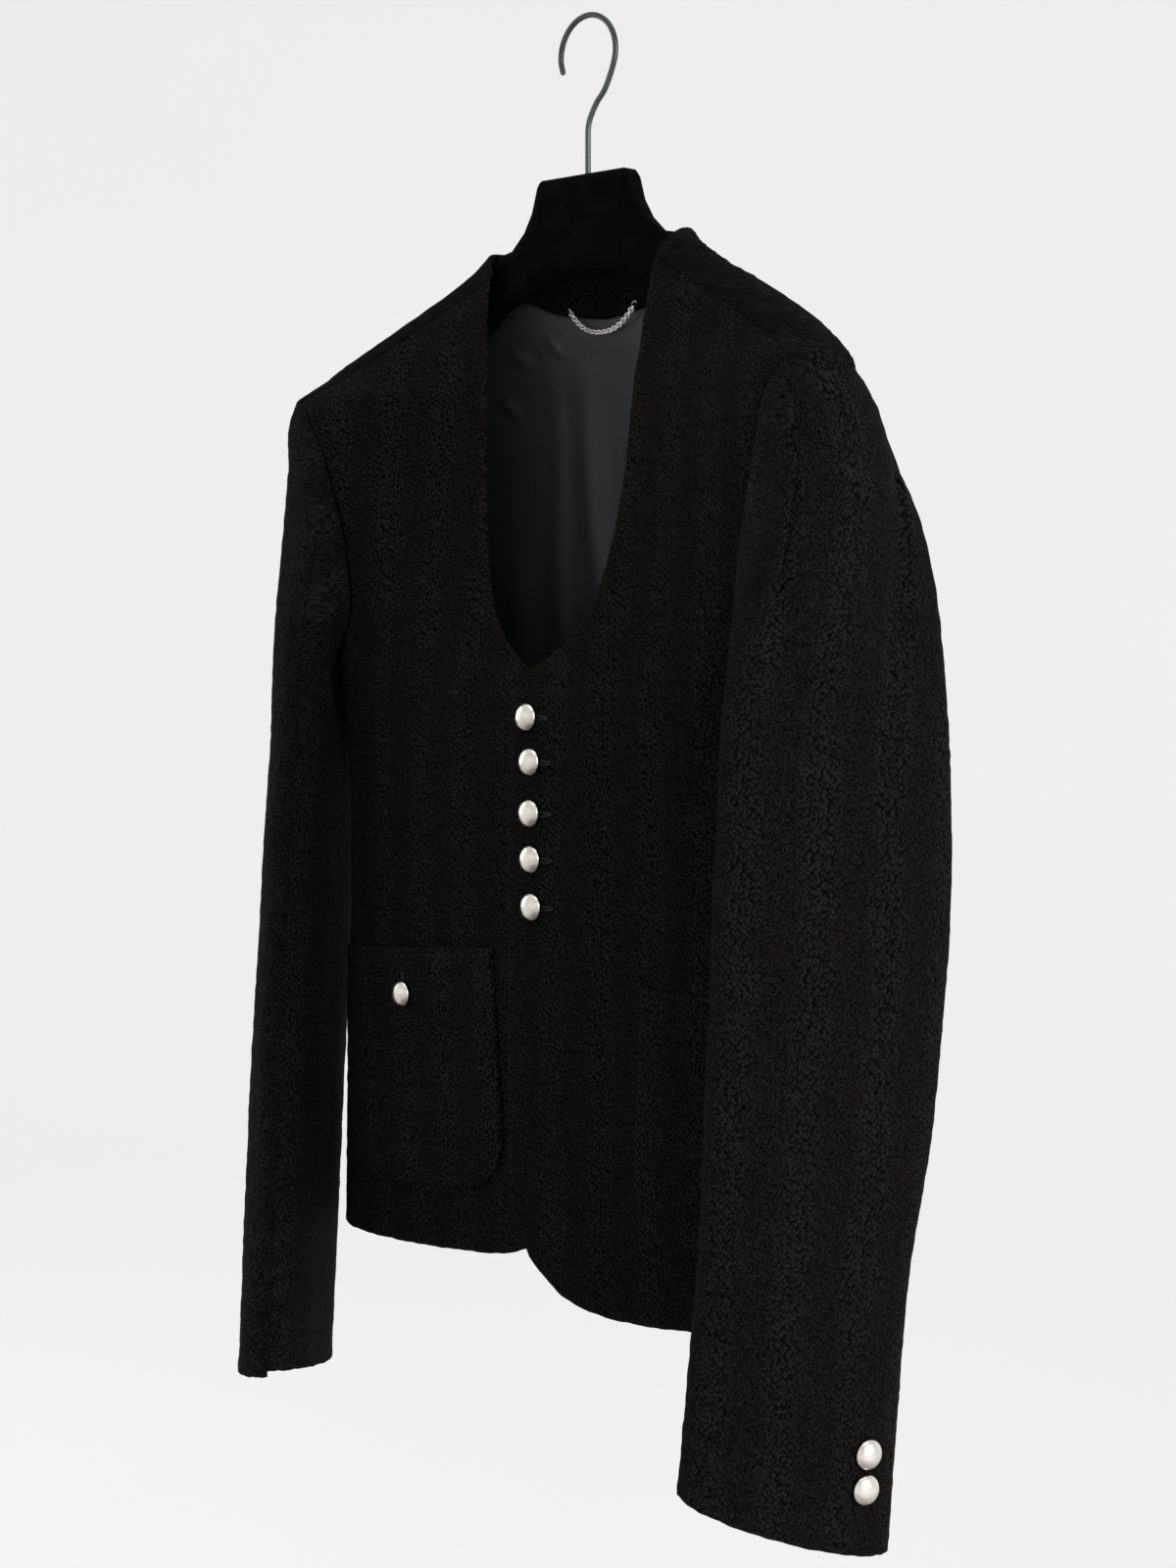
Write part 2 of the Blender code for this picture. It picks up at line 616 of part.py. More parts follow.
def sleeve_wall(downs, share):
    """Outer and inner points of the sleeve's wall, row by row."""
    place, edge = sleeve_form(share)
    before = sleeve_form(share - SHARE_STEP)[0]
    after = sleeve_form(share + SHARE_STEP)[0]
    outer = []
    inner = []
    for down in downs:
        points = place(down)
        fall = place(min(down + SHARE_STEP, 2)) - place(max(down - SHARE_STEP, 0))
        inward = unit(np.cross(fall, after(down) - before(down))) if down > 0 else edge
        outer.append(points)
        inner.append(points + inward * CLOTH)
    return np.array(outer), np.array(inner)


def sleeves(collection):
    """Top sleeve and under sleeve on both sides, which meet at a front seam and a back seam."""
    front, back, ridge = armhole_shares()
    shares = np.concatenate([front, back[1:], ridge[1:]])
    front_seam = int(np.argmin(abs(shares - SEAM_FRONT)))
    back_seam = int(np.argmin(abs(shares - SEAM_BACK)))
    under = shares[front_seam:back_seam + 1].copy()
    over = np.concatenate([shares[back_seam:-1] - 1, shares[:front_seam + 1]])
    downs = np.concatenate([np.linspace(0, 1, CAP_ROWS), np.linspace(1, 2, ARM_ROWS)[1:]])
    for label, share, shorten in (("top", over, 0.0), ("under", under, VENT_STEP)):
        share[0] += GAP / 2 / CUFF_GIRTH
        share[-1] -= GAP / 2 / CUFF_GIRTH
        rows = downs.copy()
        rows[-1] -= shorten / (SLEEVE_TOP - SLEEVE_END)
        outer, inner = sleeve_wall(rows, share)
        for side, word in ((1, "left"), (-1, "right")):
            flip = (side, 1, 1)
            wall(f"sleeve_{label}_{word}", outer * flip, inner * flip, "tweed", collection)


# Pockets and buttons -----------------------------------------------------


def pocket(word, collection):
    """A patch pocket with rounded lower corners, laid on its front."""
    side = 1 if word == "left" else -1
    spec = POCKETS[word]
    height = POCKET_HEIGHT * np.linspace(0, 1, POCKET_ROWS) ** 2
    below = np.clip(POCKET_CORNER - height, 0, None)
    half = spec["width"] / 2 - POCKET_CORNER + np.sqrt(POCKET_CORNER**2 - below**2)
    across = half[:, None] * np.linspace(-1, 1, POCKET_COLUMNS)[None, :]
    up = (height - POCKET_HEIGHT / 2)[:, None] * np.ones((1, POCKET_COLUMNS))
    tilt = math.radians(spec["tilt"])
    middle = around(side * spec["across"], spec["height"], 1)
    place = np.stack([
        middle + side * (across * math.cos(tilt) - up * math.sin(tilt)),
        spec["height"] + across * math.sin(tilt) + up * math.cos(tilt),
    ], axis=-1)
    lift = spec["lift"] + (lap_lift(place) if side > 0 else 0.0)
    place[..., 0] *= side
    return cloth_on_body(f"pocket_{word}", place, lift, CLOTH, "tweed", collection)


def button(name, point, normal, collection):
    """A domed button on a short shank: a turned profile, standing along the cloth's normal."""
    profile = [(BUTTON_RADIUS * across, BUTTON_HEIGHT * up) for across, up in BUTTON_PROFILE]
    mesh = bpy.data.meshes.new(name)
    edges = [(i, i + 1) for i in range(len(profile) - 1)]
    mesh.from_pydata([(x, 0.0, z) for x, z in profile], edges, [])
    mesh.materials.append(make_material(name, "button"))
    item = bpy.data.objects.new(name, mesh)
    collection.objects.link(item)
    turn = item.modifiers.new("turned", "SCREW")
    turn.steps = BUTTON_STEPS
    turn.render_steps = BUTTON_STEPS
    turn.use_merge_vertices = True
    turn.merge_threshold = 0.00005
    turn.use_smooth_shade = True
    item.location = Vector(point)
    item.rotation_mode = "QUATERNION"
    item.rotation_quaternion = Vector(normal).to_track_quat("Z", "Y")
    return item


def button_on_front(name, across, height, stack, collection):
    """Seats a button on a front, above the given stack of cloth."""
    side = 1 if across >= 0 else -1
    place = np.array([[around(across, height, 1), height]])
    normal = body_normal(place)[0]
    lap = lap_lift(place)[0] if side > 0 else 0.0
    return button(name, body_place(place)[0] + normal * (lap + stack + GAP), normal, collection)


def buttons(collection):
    for i, (across, height) in enumerate(FRONT_BUTTONS):
        button_on_front(f"front_button_{i + 1}", across, height, 0.0, collection)
    for word, (across, height) in POCKET_BUTTONS.items():
        stack = POCKETS[word]["lift"]
        button_on_front(f"pocket_button_{word}", across, height, stack, collection)
    for side, word in ((1, "left"), (-1, "right")):
        for i, rise in enumerate(CUFF_BUTTON_RISES):
            down = 2 - rise / (SLEEVE_TOP - SLEEVE_END)
            outer, inner = sleeve_wall([down], np.array([CUFF_BUTTON_ROUND]))
            normal = unit(outer[0, 0] - inner[0, 0]) * (side, 1, 1)
            point = outer[0, 0] * (side, 1, 1) + normal * GAP
            button(f"cuff_button_{word}_{i + 1}", point, normal, collection)


# Hanger ------------------------------------------------------------------


def shoulder_ridge(across):
    """Height and forward place of the shoulders' ridge, where the body is as wide as across."""
    heights = np.linspace(WIDEST_HEIGHT, BODY_LEVELS[-1][0], 400)
    size = level(heights)
    height = np.interp(-across, -size["half_width"], heights)
    return height, np.interp(height, heights, size["side_shift"])


def cloth_above(cloth, across, forward, start):
    """Height of the lowest cloth straight above a place."""
    hits = [tree.ray_cast((across, forward, start), (0, 0, 1))[0] for tree in cloth]
    return min([hit.z for hit in hits if hit] or [math.inf])


def hanger_sections(collection):
    """Rows of across, forward, top, bottom, half thickness and squareness, for one side. An
    arm's section rises until its rounded top is just under the cloth."""
    cloth = []
    for name in ("back_lining", "neck_facing", "back", "front_left"):
        mesh = collection.objects[name].data
        cloth.append(BVHTree.FromPolygons([v.co for v in mesh.vertices],
                                          [p.vertices for p in mesh.polygons]))
    rows = [(across, 0.0, *rest) for across, *rest in HANGER_NECK]
    for across, depth, half_thickness, squareness in HANGER_ARM:
        height, forward = shoulder_ridge(across)
        tops = []
        for share in SEAT_PROBES:
            drop = depth / 2 * (1 - (1 - abs(share) ** squareness) ** (1 / squareness))
            for step in SEAT_STEPS:
                slope = shoulder_ridge(across + step)[0] - height
                above = cloth_above(cloth, across + step, forward + share * half_thickness,
                                    height - depth)
                tops.append(above + drop - slope)
        top = min(tops) - HANGER_SEAT
        rows.append((across, forward, top, top - depth, half_thickness, squareness))
    return np.array(rows)


def hanger(collection):
    """A contoured hanger: rounded sections lofted from one end to the other."""
    right = hanger_sections(collection)
    left = right[:0:-1] * (-1, 1, 1, 1, 1, 1)
    sections = np.concatenate([left, right])
    turn = 2 * math.pi * (np.arange(HANGER_SIDES) + 0.5) / HANGER_SIDES
    points = []
    for across, forward, top, bottom, half_thickness, squareness in sections:
        power = 2 / squareness
        thick = half_thickness * np.sign(np.cos(turn)) * np.abs(np.cos(turn)) ** power
        up = (top - bottom) / 2 * np.sign(np.sin(turn)) * np.abs(np.sin(turn)) ** power
        points += [(across, forward + t, (top + bottom) / 2 + u) for t, u in zip(thick, up)]
    faces = []
    for s in range(len(sections) - 1):
        for k in range(HANGER_SIDES):
            a = s * HANGER_SIDES + k
            b = s * HANGER_SIDES + (k + 1) % HANGER_SIDES
            faces.append((a, b, b + HANGER_SIDES, a + HANGER_SIDES))
    faces.append(tuple(range(HANGER_SIDES)))
    faces.append(tuple(range(len(points) - HANGER_SIDES, len(points))))
    return mesh_object("hanger", points, faces, "hanger", collection)


def wire(name, points, radius, resolution, kind, collection):
    curve = bpy.data.curves.new(name, "CURVE")
    curve.dimensions = "3D"
    curve.bevel_depth = radius
    curve.bevel_resolution = resolution
    curve.use_fill_caps = True
    path = curve.splines.new("POLY")
    path.points.add(len(points) - 1)
    for target, point in zip(path.points, points):
        target.co = (*point, 1.0)
    curve.materials.append(make_material(name, kind))
    item = bpy.data.objects.new(name, curve)
    collection.objects.link(item)
    return item


def hook(collection):
    """A straight stem, a bend to one side and an open circle over the rail."""
    radius = HOOK_RADIUS + WIRE_RADIUS
    bow = [(radius * math.cos(a), radius * math.sin(a) - HOOK_RADIUS)
           for a in np.radians(np.linspace(*HOOK_ANGLES, 11))]
    path = spline(list(HOOK_STEM) + bow, 34)
    points = [(x, 0.0, z) for x, z in path]
    return wire("hook", points, WIRE_RADIUS, 2, "wire", collection)


def hanger_loop(collection):
    """The loop of chain at the back neck, a plain cord against the facing that carries its ends."""
    place = np.array([[around(LOOP_HALF, LOOP_TOP, -1), LOOP_TOP]])
    facing = body_place(place)[0, 1] - CLOTH - GAP - FACING
    forward = facing - GAP - LOOP_RADIUS
    share = np.linspace(-1, 1, 17)
    points = [(LOOP_HALF * s, forward, LOOP_TOP - LOOP_SAG * (1 - abs(s) ** 2.4)) for s in share]
    return wire("hanger_loop", points, LOOP_RADIUS, 1, "chain", collection)


def main():
    clear_scene()
    collection = make_collection("cropped_tweed_jacket_on_hanger")
    for side in (1, -1):
        front_panel(side, collection)
    back_panel(collection)
    sleeves(collection)
    for word in POCKETS:
        pocket(word, collection)
    buttons(collection)
    hanger(collection)
    hook(collection)
    hanger_loop(collection)


main()
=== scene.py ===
import math

import bmesh
import bpy
import numpy as np
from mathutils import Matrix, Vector


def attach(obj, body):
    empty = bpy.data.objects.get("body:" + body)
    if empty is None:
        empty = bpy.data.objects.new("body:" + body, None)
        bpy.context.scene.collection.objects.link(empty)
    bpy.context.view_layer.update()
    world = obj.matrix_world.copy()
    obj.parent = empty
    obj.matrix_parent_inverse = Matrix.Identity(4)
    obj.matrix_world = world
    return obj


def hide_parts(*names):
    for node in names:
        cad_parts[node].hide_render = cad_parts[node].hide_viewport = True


# Cropped tweed jacket on a flocked hanger, dressed over its frame.
# Metres, +Z up, the front faces -Y, +X is the wearer's left. The origin is the hook's inner top.

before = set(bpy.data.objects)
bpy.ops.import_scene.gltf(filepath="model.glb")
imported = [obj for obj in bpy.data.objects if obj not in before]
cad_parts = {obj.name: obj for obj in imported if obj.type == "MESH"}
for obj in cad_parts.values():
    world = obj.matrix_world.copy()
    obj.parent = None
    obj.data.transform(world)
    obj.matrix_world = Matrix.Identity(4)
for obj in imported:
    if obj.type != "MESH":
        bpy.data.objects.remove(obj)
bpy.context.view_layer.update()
print("frame loaded")

view = {
    "place": (1.0930, -1.1162, -0.3529),
    "target": (0.0, 0.0, -0.4460),
    "lens": 60.75,                 # for a 36 mm long side
}


def makeCamera():
    data = bpy.data.cameras.new("camera")
    data.lens = view["lens"]
    data.sensor_width = 36
    data.clip_start = 0.05
    data.clip_end = 40
    camera = bpy.data.objects.new("camera", data)
    bpy.context.scene.collection.objects.link(camera)
    camera.location = view["place"]
    toward = Vector(view["target"]) - Vector(view["place"])
    camera.rotation_mode = "QUATERNION"
    camera.rotation_quaternion = toward.to_track_quat("-Z", "Y")
    bpy.context.scene.camera = camera


makeCamera()

# Curves and the body's form

cloth = {
    "thick": 0.0020,
    "lining": 0.0010,
    "facing": 0.0015,
    "gap": 0.0003,
    "spacing": 0.0024,             # between points of the cloth
    "nub": 0.00013,                # uneven yarn, off the smooth form
    "seamDepth": 0.0008,
    "seamWidth": 0.0026,
    "edgeRoll": 0.00035,           # a turned edge stands a little proud
    "rollPlace": 0.0035,           # from the edge
    "rollWidth": 0.0025,
    # width of the painted highlight along free edges
    "paintedHighlightWidth": 0.0022,
    "bond": 0.0001,                # bulge of a rim that is sewn
    "rim": 0.45,                   # bulge of a free rim, as a share of the wall
    "ragged": 0.00028,             # uneven outline of hems and cuffs
}

bodyForm = {
    # height, half width, front at centre, front at side, back, side shift, squareness
    "levels": (
        (-0.770, 0.203, 0.0500, 0.064, 0.0430, 0.006, 2.8),
        (-0.600, 0.198, 0.0505, 0.066, 0.0450, 0.006, 2.8),
        (-0.460, 0.190, 0.0505, 0.064, 0.0450, 0.004, 2.9),
        (-0.395, 0.1935, 0.0485, 0.060, 0.0430, -0.002, 3.0),
        (-0.360, 0.196, 0.0400, 0.060, 0.0410, -0.008, 2.8),
        (-0.307, 0.200, 0.0295, 0.061, 0.0380, -0.016, 2.6),
        (-0.250, 0.2165, 0.0225, 0.065, 0.0330, -0.023, 2.9),
        (-0.228, 0.2195, 0.0208, 0.063, 0.0305, -0.026, 3.1),
        (-0.2130, 0.2140, 0.0197, 0.058, 0.0283, -0.026, 3.0),
        (-0.199, 0.200, 0.0190, 0.040, 0.0250, -0.0220, 2.6),
        (-0.166, 0.143, 0.0165, 0.028, 0.0178, -0.0080, 2.5),
        (-0.150, 0.111, 0.0155, 0.020, 0.0165, -0.0040, 2.5),
        (-0.139, 0.0915, 0.0150, 0.017, 0.0175, -0.0015, 2.5),
        (-0.1295, 0.0790, 0.0150, 0.017, 0.0205, 0.0, 2.5),
        (-0.1240, 0.0740, 0.0150, 0.017, 0.0210, 0.0, 2.5),
        (-0.1100, 0.0620, 0.0150, 0.017, 0.0210, 0.0, 2.5),
    ),
    # share of the turn from its top, face of the body, across, height
    "armhole": (
        (0.018, 1, 0.2160, -0.2195),
        (0.075, 1, 0.2125, -0.2180),
        (0.10, 1, 0.2072, -0.2150),
        (0.13, 1, 0.1990, -0.2130),
        (0.20, 1, 0.1800, -0.2380),
        (0.28, 1, 0.1700, -0.2720),
        (0.36, 1, 0.1625, -0.3150),
        (0.43, 1, 0.1680, -0.3570),
        (0.50, -1, 0.1930, -0.3930),
        (0.58, -1, 0.1760, -0.3620),
        (0.66, -1, 0.1660, -0.3150),
        (0.75, -1, 0.1680, -0.2700),
        (0.85, -1, 0.1800, -0.2320),
        (0.95, -1, 0.2040, -0.2150),
    ),
    "shoulderSeamEnd": 0.13,
    "underarm": 0.50,
    "backYoke": 0.84,
    "sideRows": 10,
    "frontRows": 12,
    "backRows": 6,
    "ridgeRows": 10,
    "neckColumns": 8,
    "shoulderColumns": 12,
    "sideSpread": 1.4,
    "hemBack": -0.737,
    "sideSeamHem": 0.255,
    "lapEnd": 0.040,
    "lapFade": 0.035,
}


def monotone(knots, values, at):
    # Cubic through a table; slopes are harmonic means of their neighbours, so it never overshoots
    knots, values = np.asarray(knots, float), np.asarray(values, float)
    at = np.clip(np.asarray(at, float), knots[0], knots[-1])
    step = np.diff(knots)
    slope = np.diff(values) / step
    product = slope[:-1] * slope[1:]
    total = np.where(product > 0, slope[:-1] + slope[1:], 1.0)
    inner = np.where(product > 0, 2 * product / total, 0.0)
    tangent = np.concatenate([slope[:1], inner, slope[-1:]])
    return hermite(knots, values, tangent, at)


def cubic(t, first, last, leave, arrive):
    # From first to last as t goes from 0 to 1, with the given slopes at the ends
    return ((2 * t**3 - 3 * t**2 + 1) * first + (t**3 - 2 * t**2 + t) * leave
            + (3 * t**2 - 2 * t**3) * last + (t**3 - t**2) * arrive)


def hermite(knots, values, tangent, at):
    # Cubic pieces between knots from their values and slopes; values may have further axes
    cell = np.clip(np.searchsorted(knots, at, side="right") - 1, 0, len(knots) - 2)
    shape = (-1,) + (1,) * (values.ndim - 1)
    width = np.diff(knots)[cell].reshape(shape if values.ndim > 1 else np.shape(at))
    t = ((at - knots[cell]) / np.diff(knots)[cell]).reshape(width.shape)
    return cubic(t, values[cell], values[cell + 1], width * tangent[cell],
                 width * tangent[cell + 1])


def spline(points, count=0, shares=None):
    # Catmull-Rom through a few points, then even places along its length or at shares of it
    points = np.asarray(points, float)
    padded = np.vstack([2 * points[0] - points[1], points, 2 * points[-1] - points[-2]])
    pieces = []
    for i in range(len(points) - 1):
        a, b, c, d = padded[i:i + 4]
        t = np.linspace(0, 1, 24, endpoint=i == len(points) - 2)[:, None]
        pieces.append(0.5 * (2 * b + (c - a) * t + (2 * a - 5 * b + 4 * c - d) * t**2
                             + (3 * b - a - 3 * c + d) * t**3))
    dense = np.vstack(pieces)
    run = runLength(dense)
    at = run[-1] * (np.linspace(0, 1, count) if shares is None else shares)
    return np.stack([np.interp(at, run, dense[:, k]) for k in range(dense.shape[1])], axis=1)


def runLength(points):
    # Length along a line of points, from its first one
    return np.concatenate([[0], np.cumsum(np.linalg.norm(np.diff(points, axis=0), axis=-1))])


def unit(vectors):
    return vectors / np.maximum(np.linalg.norm(vectors, axis=-1, keepdims=True), 1e-12)


def levelSizes(heights):
    # The six measures of the body's oval at each height
    table = np.array(bodyForm["levels"])
    return [monotone(table[:, 0], table[:, k], heights) for k in range(1, 7)]


def oval(size, angle):
    # Flattened oval: across = width * |sin|^p, forward = depth * |cos|^p plus a shift at the sides
    halfWidth, frontCentre, frontSide, back, sideShift, squareness = size
    power = 2 / squareness
    share = np.abs(np.sin(angle)) ** power
    depth = np.abs(np.cos(angle)) ** power
    front = frontCentre + (frontSide - frontCentre) * share**2
    forward = np.where(angle <= math.pi / 2, -front * depth, back * depth)
    return halfWidth * share, forward + sideShift * share**2


angles = math.pi * np.linspace(0, 1, 241)


def girthRuns(heights):
    # Length round half the oval up to each of the angles, one row for each height
    across, forward = oval([s[:, None] for s in levelSizes(heights)], angles[None, :])
    steps = np.hypot(np.diff(across, axis=1), np.diff(forward, axis=1))
    return np.hstack([np.zeros((len(heights), 1)), np.cumsum(steps, axis=1)])


formHeights = np.linspace(-0.776, -0.104, 673)
formRuns = girthRuns(formHeights)
halfGirths = formRuns[:, -1]
formAngles = np.stack([np.interp(np.linspace(0, run[-1], 1601), run, angles) for run in formRuns])


def halfGirth(height):
    # Length round from the centre front to the centre back
    return np.interp(height, formHeights, halfGirths)


def around(across, height, face):
    # Length round the body from the centre front to a place across, on the front or the back
    run = girthRuns(np.atleast_1d(float(height)))[0]
    size = [s[0] for s in levelSizes(np.atleast_1d(float(height)))]
    share = min(abs(across) / size[0], 1.0)
    angle = math.asin(share ** (size[5] / 2))
    angle = angle if face > 0 else math.pi - angle
    return float(np.interp(angle, angles, run)) * (1 if across >= 0 else -1)


def bodyPlace(place):
    # Points for places (length round from the centre front, height), from a table of angles
    q, z = place[..., 0], place[..., 1]
    last = np.array(formAngles.shape) - 1
    row = (z - formHeights[0]) / (formHeights[1] - formHeights[0])
    row, column = (np.clip(at, 0, end - 0.001) for at, end in zip(
        (row, np.abs(q) / halfGirth(z) * last[1]), last))
    r, c = row.astype(int), column.astype(int)
    fr, fc = row - r, column - c
    angle = ((1 - fr) * ((1 - fc) * formAngles[r, c] + fc * formAngles[r, c + 1])
             + fr * ((1 - fc) * formAngles[r + 1, c] + fc * formAngles[r + 1, c + 1]))
    across, forward = oval(levelSizes(z), angle)
    return np.stack([np.sign(q) * across, forward, z], axis=-1)


def slopes(surface, place, step):
    # Directions in which a surface goes on along the first measure and along the second
    return [surface(place + move) - surface(place - move) for move in ((step, 0), (0, step))]


def bodyNormal(place):
    # The cross product of the slopes round the body and up it
    return unit(np.cross(*slopes(bodyPlace, place, 0.0006)))


def lapLift(place):
    # The upper front stands off the lower one where it laps over it
    fade = np.clip((place[..., 0] - bodyForm["lapEnd"]) / bodyForm["lapFade"], 0, 1)
    return (cloth["thick"] + 3 * cloth["gap"]) * (1 - fade**2 * (3 - 2 * fade))


def armholePlaces(shares):
    # Places on the armhole for shares of its turn: a closed smooth curve through the table
    table = np.array([(row[0], around(row[2], row[3], row[1]), row[3])
                      for row in bodyForm["armhole"]])
    knots = np.concatenate([table[:, 0] - 1, table[:, 0], table[:, 0] + 1])
    values = np.vstack([table[:, 1:]] * 3)
    return hermite(knots, values, np.gradient(values, knots, axis=0), shares)


def armholeShares():
    # Shares of the turn along the front, the lower back and the back's yoke
    top = bodyForm["shoulderSeamEnd"]
    return (np.linspace(top, bodyForm["underarm"], bodyForm["frontRows"]),
            np.linspace(bodyForm["underarm"], bodyForm["backYoke"], bodyForm["backRows"]),
            np.linspace(bodyForm["backYoke"], 1 + top, bodyForm["ridgeRows"]))


def towardSide(first, last):
    # Places on a straight line, closer together toward its last one
    count = bodyForm["shoulderColumns"]
    share = 1 - (1 - np.linspace(0, 1, count)) ** bodyForm["sideSpread"]
    return first + share[:, None] * (np.asarray(last) - first)


def coons(bottom, top, left, right):
    # A grid between four edges; each row's columns go over from the bottom's shares to the top's
    runs = [runLength(edge) for edge in (left, right)]
    v = (runs[0] / runs[0][-1] / 2 + runs[1] / runs[1][-1] / 2)[:, None]
    lowest = (bottom[:, 0] - bottom[0, 0]) / (bottom[-1, 0] - bottom[0, 0])
    highest = (top[:, 0] - top[0, 0]) / (top[-1, 0] - top[0, 0])
    u = (1 - v) * lowest + v * highest
    first, last = left[:, None], right[:, None]
    turn = (1 - u) * first[..., 0] + u * last[..., 0]
    height = ((1 - v) * bottom[:, 1] + v * top[:, 1] + (1 - u) * first[..., 1] + u * last[..., 1]
              - (1 - u) * (1 - v) * bottom[0, 1] - u * (1 - v) * bottom[-1, 1]
              - (1 - u) * v * top[0, 1] - u * v * top[-1, 1])
    return np.stack([turn, height], axis=-1)


def finer(grid, breaks, spacing):
    # Rows closer together: Catmull-Rom between the breaks, which stay sharp
    parts = []
    for a, b in zip(breaks, breaks[1:]):
        block = grid[a:b + 1]
        step = np.linalg.norm(np.diff(block, axis=0), axis=-1).mean(axis=1)
        run = np.concatenate([[0], np.cumsum(step)])
        at = np.linspace(0, run[-1], max(2, math.ceil(run[-1] / spacing) + 1))
        fine = hermite(run, block, np.gradient(block, run, axis=0), at)
        parts.append(fine[1:] if parts else fine)
    return np.concatenate(parts)


def finerBoth(grid, rowBreaks, columnBreaks, spacing):
    # The same along the rows and along the columns
    rows = finer(grid, rowBreaks, spacing)
    return finer(rows.swapaxes(0, 1), columnBreaks, spacing).swapaxes(0, 1)


# Relief of the cloth

rng = np.random.default_rng(20)


def relief(place, creases):
    # Soft troughs and ridges: each follows a slightly bowed line and fades out at its ends
    total = np.zeros(place.shape[:-1])
    for x0, z0, x1, z1, width, height in creases:
        line = np.array([x1 - x0, z1 - z0])
        length = np.hypot(*line)
        off = place - (x0, z0)
        t = (off @ line) / length**2
        bow = 0.35 * width * np.sin(5.0 * t + 40 * x0)
        apart = (off[..., 0] * line[1] - off[..., 1] * line[0]) / length - bow
        ends = np.clip(1 - np.abs(2 * t - 1), 0, 1)
        total += height * ends * (2 - ends) * np.exp(-(apart / width) ** 2)
    return total


def unevenness(shape, amount):
    # Random steps, softened once with each neighbour
    field = rng.standard_normal(shape)
    for axis in (0, 1):
        field = 0.5 * field + 0.25 * (np.roll(field, 1, axis) + np.roll(field, -1, axis))
    return field * amount / 0.375


def waver(count, amount):
    # A soft random line: sums of three sines with random phases
    at = np.arange(count)
    return amount * sum(
        np.sin(at * rate + rng.uniform(0, 6.28)) for rate in (0.55, 0.93, 1.71)) / 2


def edgeDistances(points):
    # Distance of each point from the first and last row and column, along the grid
    down = np.linalg.norm(np.diff(points, axis=0), axis=-1)
    over = np.linalg.norm(np.diff(points, axis=1), axis=-1)
    zeroRow, zeroColumn = np.zeros((1, points.shape[1])), np.zeros((points.shape[0], 1))
    bottom = np.vstack([zeroRow, np.cumsum(down, axis=0)])
    first = np.hstack([zeroColumn, np.cumsum(over, axis=1)])
    return {"bottom": bottom, "top": bottom[-1:] - bottom,
            "first": first, "last": first[:, -1:] - first}


def edgeRelief(distances, seams, free):
    # A groove along each sewn edge and a roll along each free one; the second result is a painted
    # highlight that lightens the cloth along each free edge
    total = np.zeros(distances["bottom"].shape)
    paintedLight = np.zeros_like(total)
    for side, weight in seams.items():
        total -= weight * cloth["seamDepth"] * np.exp(-(distances[side] / cloth["seamWidth"]) ** 2)
    for side, weight in free.items():
        away = distances[side]
        past = (away - cloth["rollPlace"]) / cloth["rollWidth"]
        total += weight * cloth["edgeRoll"] * np.exp(-past**2)
        # Painted highlight: lighter colour near each free edge
        paintedLight = np.maximum(paintedLight, weight * np.exp(-away / cloth["paintedHighlightWidth"]))
    return total, paintedLight


# Meshes


def repaired(mesh, closed=True):
    # Closes open ends where there are any, and turns the faces outward
    work = bmesh.new()
    work.from_mesh(mesh)
    if not closed:
        ends = [edge for edge in work.edges if edge.is_boundary]
        bmesh.ops.holes_fill(work, edges=ends, sides=0)
    bmesh.ops.recalc_face_normals(work, faces=work.faces)
    work.to_mesh(mesh)
    work.free()


def makeObject(name, points, faces, uv=None, paintedLight=None, finish=None, repair=True):
    # One mesh from points and faces, with its cloth map and its mask of painted light: painted
    # highlight on tweed edges, painted shade on buttons
    mesh = bpy.data.meshes.new(name)
    mesh.from_pydata(points.tolist(), [], faces if isinstance(faces, list) else faces.tolist())
    if repair:
        repaired(mesh)
    if uv is not None:
        corner = np.zeros(len(mesh.loops), dtype=np.int32)
        mesh.loops.foreach_get("vertex_index", corner)
        layer = mesh.uv_layers.new(name="cloth")
        layer.data.foreach_set("uv", uv[corner].astype(np.float32).ravel())
    if paintedLight is not None:
        layer = mesh.attributes.new("paintedLight", "FLOAT", "POINT")
        layer.data.foreach_set("value", paintedLight.astype(np.float32))
    mesh.shade_smooth()
    if finish:
        mesh.materials.append(finish)
    item = bpy.data.objects.new(name, mesh)
    bpy.context.scene.collection.objects.link(item)
    return item


